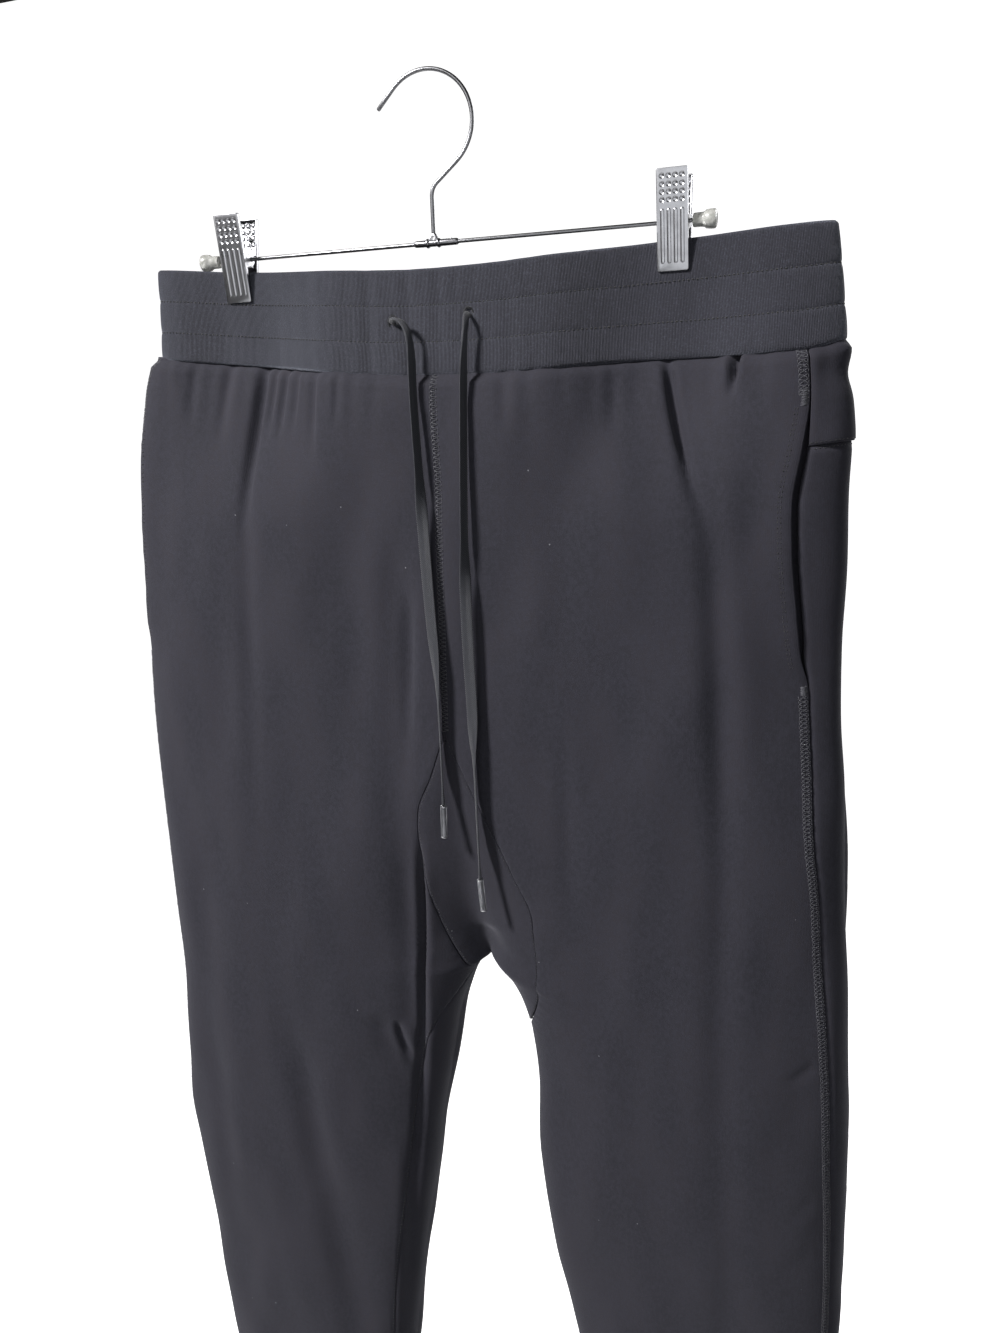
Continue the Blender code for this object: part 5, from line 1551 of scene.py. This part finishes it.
def make_collar(metal):
    """The crimped sleeve on the bar with the forked foot that carries the shank."""
    bore = hanger_settings().bar_wire / MM / 2 + 0.12
    sleeve = turned("bar_collar_sleeve", [
        (-11, bore + 0.15), (-10.6, 1.55), (-9.8, 1.72), (-4.2, 1.78), (-3.9, 2.35), (-3.2, 2.5), (-2.6, 2.2),
        (-2.2, 1.8), (2.0, 1.8), (2.4, 2.3), (3.0, 2.45), (3.6, 2.2), (4.0, 1.82), (12.9, 1.75), (13.7, 1.6),
        (14, bore + 0.15)])
    top = BAR_LINE + 5.2
    legs = block("fork", (-3.6, -1.3, BAR_LINE), (3.6, 1.3, top))
    pick(legs, lambda f: f.normal.z > 0.9)
    resize((0.30, 0.85, 1), (0, 0, top))
    bpy.ops.object.mode_set(mode="OBJECT")
    boolean(sleeve, finish_hard(legs, metal, 0.5, 3), "UNION")
    boolean(sleeve, cylinder("window", 1.05, 8, (0, 0, BAR_LINE + 2.35), ALONG_Y, 24), "DIFFERENCE")
    for x, z, y in ((7.4, 1.2, -1.25), (10.6, 1.25, -1.2)):
        pip = primitive(bpy.ops.mesh.primitive_uv_sphere_add, "pip", (x, y, BAR_LINE + z), segments=12,
                        ring_count=8, radius=0.6 * MM)
        boolean(sleeve, pip, "UNION")
    boolean(sleeve, cylinder("bore", bore, 40, (1, 0, BAR_LINE)), "DIFFERENCE")
    return finish_hard(sleeve, metal)


def make_plate(metal):
    """One pressed clip plate, upright, its outer face at y = 0 and its middle at the origin."""
    half, tall = CLIP_WIDTH / 2, CLIP_TOP - CLIP_BOTTOM
    columns = [(k - 1.5) * DIMPLE_PITCH for k in range(4)]
    plate = block("plate", (-half, 0, -tall / 2), (half, CLIP_LIP, tall / 2))
    corners = plate.data.vertices
    pick(plate, lambda e: abs(corners[e.vertices[0]].co.y - corners[e.vertices[1]].co.y) > 1 * MM, "EDGE")
    bpy.ops.mesh.bevel(offset=1.0 * MM, segments=4, affect="EDGES")
    bpy.ops.object.mode_set(mode="OBJECT")
    pick(plate, lambda f: f.normal.y > 0.9)
    bpy.ops.mesh.inset(thickness=CLIP_SHEET * MM)
    extrude(0, CLIP_SHEET - CLIP_LIP, 0)
    bpy.ops.object.mode_set(mode="OBJECT")
    finish_hard(plate, metal, 0.22, 2)
    sphere = (DIMPLE_RADIUS ** 2 + DIMPLE_DEPTH ** 2) / (2 * DIMPLE_DEPTH)
    for operation, face in (("UNION", CLIP_SHEET), ("DIFFERENCE", 0.0)):
        for share in DIMPLE_ROWS:
            for x in columns:
                z = tall / 2 - share * tall
                bump = primitive(bpy.ops.mesh.primitive_uv_sphere_add, "dimple",
                                 (x, face - sphere + DIMPLE_DEPTH, z), segments=24, ring_count=16,
                                 radius=sphere * MM, rotation=ALONG_Y)
                if operation == "UNION":
                    keep = block("keep", (x - 2, CLIP_SHEET - 0.2, z - 2), (x + 2, CLIP_SHEET + 2, z + 2))
                    boolean(bump, keep, "INTERSECT")
                boolean(plate, bump, operation)
    for x in columns:
        flute = cylinder("flute", FLUTE_RADIUS, (FLUTE_TO - FLUTE_FROM) * tall, turn=ALONG_Z, vertices=24)
        pick(flute, lambda f: abs(f.normal.z) > 0.9)
        bpy.ops.mesh.bevel(offset=FLUTE_RADIUS * 0.98 * MM, segments=6, affect="EDGES")
        bpy.ops.object.mode_set(mode="OBJECT")
        place = Matrix.Translation(Vector((x, 0.02, tall / 2 - (FLUTE_FROM + FLUTE_TO) / 2 * tall)) * MM)
        apply_move(flute, place @ Matrix.Diagonal((1, FLUTE_RISE / FLUTE_RADIUS, 1, 1)))
        boolean(plate, flute, "UNION")
    return plate


def add_ears(leaf, inset):
    """Two ears with webs that carry a clip plate on the bar, and the bore through them."""
    for end in (-1, 1):
        outer = end * (CLIP_WIDTH / 2 - inset)
        low, high = sorted((outer, outer - end * CLIP_SHEET))
        ear = cylinder("ear", 3.3, high - low, ((low + high) / 2, 0, BAR_LINE), vertices=36)
        web = block("web", (low, -7.2, BAR_LINE - 5.5), (high, 0.0, BAR_LINE + 3.2))
        pick(web, lambda f: f.normal.y > 0.9)
        resize((1, 1, 0.55), (0, 0, BAR_LINE))
        bpy.ops.object.mode_set(mode="OBJECT")
        boolean(ear, web, "UNION")
        boolean(leaf, ear, "UNION")
    bore = hanger_settings().bar_wire / MM / 2 + 0.3
    boolean(leaf, cylinder("bore", bore, 30, (0, 0, BAR_LINE)), "DIFFERENCE")


def make_clips(metal):
    """Both plates of both clips, from one pressed plate."""
    model = make_plate(metal)
    slope = math.atan2(CLIP_TOP_Y - CLIP_FOOT_Y, CLIP_TOP - CLIP_BOTTOM)
    middle = Vector((0, -(CLIP_TOP_Y + CLIP_FOOT_Y) / 2, (CLIP_TOP + CLIP_BOTTOM) / 2)) * MM
    for face, inset, turn in (("front", 0.0, 0.0), ("back", 1.4, math.pi)):
        leaf = copy_of(model, Matrix.Translation(middle) @ Matrix.Rotation(slope, 4, "X"))
        add_ears(leaf, inset)
        if turn:
            apply_move(leaf, Matrix.Rotation(turn, 4, "Z"))
        for side, x in CLIP_X.items():
            made = copy_of(leaf, Matrix.Translation((x * MM, 0, 0)))
            made.name = "clip_%s_%s_plate" % (side, face)
            dress(finish_hard(made, metal), ["clip_%s_%s" % (side, face)])
        bpy.data.objects.remove(leaf, do_unlink=True)
    bpy.data.objects.remove(model, do_unlink=True)


def make_springs(metal):
    """The torsion spring between each clip's ears: a wire ring that is screwed along the bar."""
    reach, wire, radius, turns = 4.9, 0.55, 2.35, 7
    for side, x in CLIP_X.items():
        made = ring("clip_%s_spring_wire" % side, wire, (0, 0, radius), ALONG_Y, 12)
        bpy.ops.object.mode_set(mode="OBJECT")
        apply_modifier(made, "SCREW", axis="X", steps=26, render_steps=26, iterations=turns,
                       screw_offset=2 * (reach - wire) / turns * MM)
        bpy.ops.object.mode_set(mode="EDIT")
        bpy.ops.mesh.select_all(action="SELECT")
        bpy.ops.mesh.remove_doubles(threshold=1e-7)
        close_up()
        apply_move(made, Matrix.Translation(((x - reach + wire) * MM, 0, BAR_Z)))
        dress(finish_hard(made, metal), ["clip_%s_spring" % side])


class JOGGERS_OT_hook(Maker):
    """Make the wire hook, the straight bar and the crimped collar that joins them"""

    bl_idname = "joggers.hook"
    bl_label = "Hook and bar"

    def make(self, context):
        sizes = hanger_settings()
        # The hook and the bar take a copy of the clips' plating at half its brightness: painted shade.
        metal = finish_of("plated wire", plated, tone(tuple(sizes.metal_colour), 0.5), 0.3)
        dress(make_hook(metal), ["hook"])
        bar = cylinder("bar_wire", sizes.bar_wire / MM / 2, BAR_RIGHT - BAR_LEFT,
                       ((BAR_LEFT + BAR_RIGHT) / 2, 0, BAR_LINE), vertices=20)
        dress(finish_hard(bar, metal, 0.2), ["bar"])
        dress(make_collar(metal), ["bar_collar"])


class JOGGERS_OT_knobs(Maker):
    """Make the clear knobs that close the bar's ends"""

    bl_idname = "joggers.knobs"
    bl_label = "Knobs"

    def make(self, context):
        plastic = finish_of("clear plastic", clear_plastic, (0.42, 0.42, 0.39))
        for side, end, outward in (("left", BAR_LEFT - 0.3, -1), ("right", BAR_RIGHT + 0.3, 1)):
            knob = turned("knob_%s_plastic" % side,
                          [(end + outward * share * KNOB_LENGTH, radius) for share, radius in KNOB])
            pick(knob, lambda f, o=outward: f.normal.x * o > 0.9 and len(f.vertices) > 8)
            bpy.ops.mesh.inset(thickness=1.0 * MM)
            extrude(-outward * 0.9, 0, 0)
            bpy.ops.object.mode_set(mode="OBJECT")
            dress(finish_hard(knob, plastic), ["knob_" + side])


class JOGGERS_OT_clips(Maker):
    """Make both spring clips: pressed plates with dimples and flutes, ears on the bar, and springs"""

    bl_idname = "joggers.clips"
    bl_label = "Clips"

    def make(self, context):
        metal = finish_of("pressed steel", plated, hanger_settings().metal_colour, 0.28)
        make_clips(metal)
        make_springs(metal)


class JOGGERS_PT_panel(bpy.types.Panel):
    bl_label = "Joggers"
    bl_idname = "JOGGERS_PT_panel"
    bl_space_type = "VIEW_3D"
    bl_region_type = "UI"
    bl_category = "Joggers"

    def draw(self, context):
        column = self.layout.column()
        for group in (context.scene.joggers_cloth, context.scene.joggers_hanger):
            for name in group.__annotations__:
                column.prop(group, name)
        for maker in MAKERS:
            column.operator(maker.bl_idname)


MAKERS = (JOGGERS_OT_stage, JOGGERS_OT_drawstrings, JOGGERS_OT_fronts, JOGGERS_OT_backs, JOGGERS_OT_yoke,
          JOGGERS_OT_gusset, JOGGERS_OT_pockets, JOGGERS_OT_waistband, JOGGERS_OT_cuffs,
          JOGGERS_OT_stitching, JOGGERS_OT_hook, JOGGERS_OT_knobs, JOGGERS_OT_clips)
CLASSES = (JoggersCloth, JoggersHanger) + MAKERS + (JOGGERS_PT_panel,)


def register():
    for each in CLASSES:
        bpy.utils.register_class(each)
    bpy.types.Scene.joggers_cloth = bpy.props.PointerProperty(type=JoggersCloth)
    bpy.types.Scene.joggers_hanger = bpy.props.PointerProperty(type=JoggersHanger)


def unregister():
    del bpy.types.Scene.joggers_hanger
    del bpy.types.Scene.joggers_cloth
    for each in reversed(CLASSES):
        bpy.utils.unregister_class(each)


def main():
    register()
    for maker in MAKERS:
        group, name = maker.bl_idname.split(".")
        if getattr(getattr(bpy.ops, group), name)() != {"FINISHED"}:
            raise RuntimeError(maker.bl_label + " wasn't made")


if __name__ == "__main__":
    main()
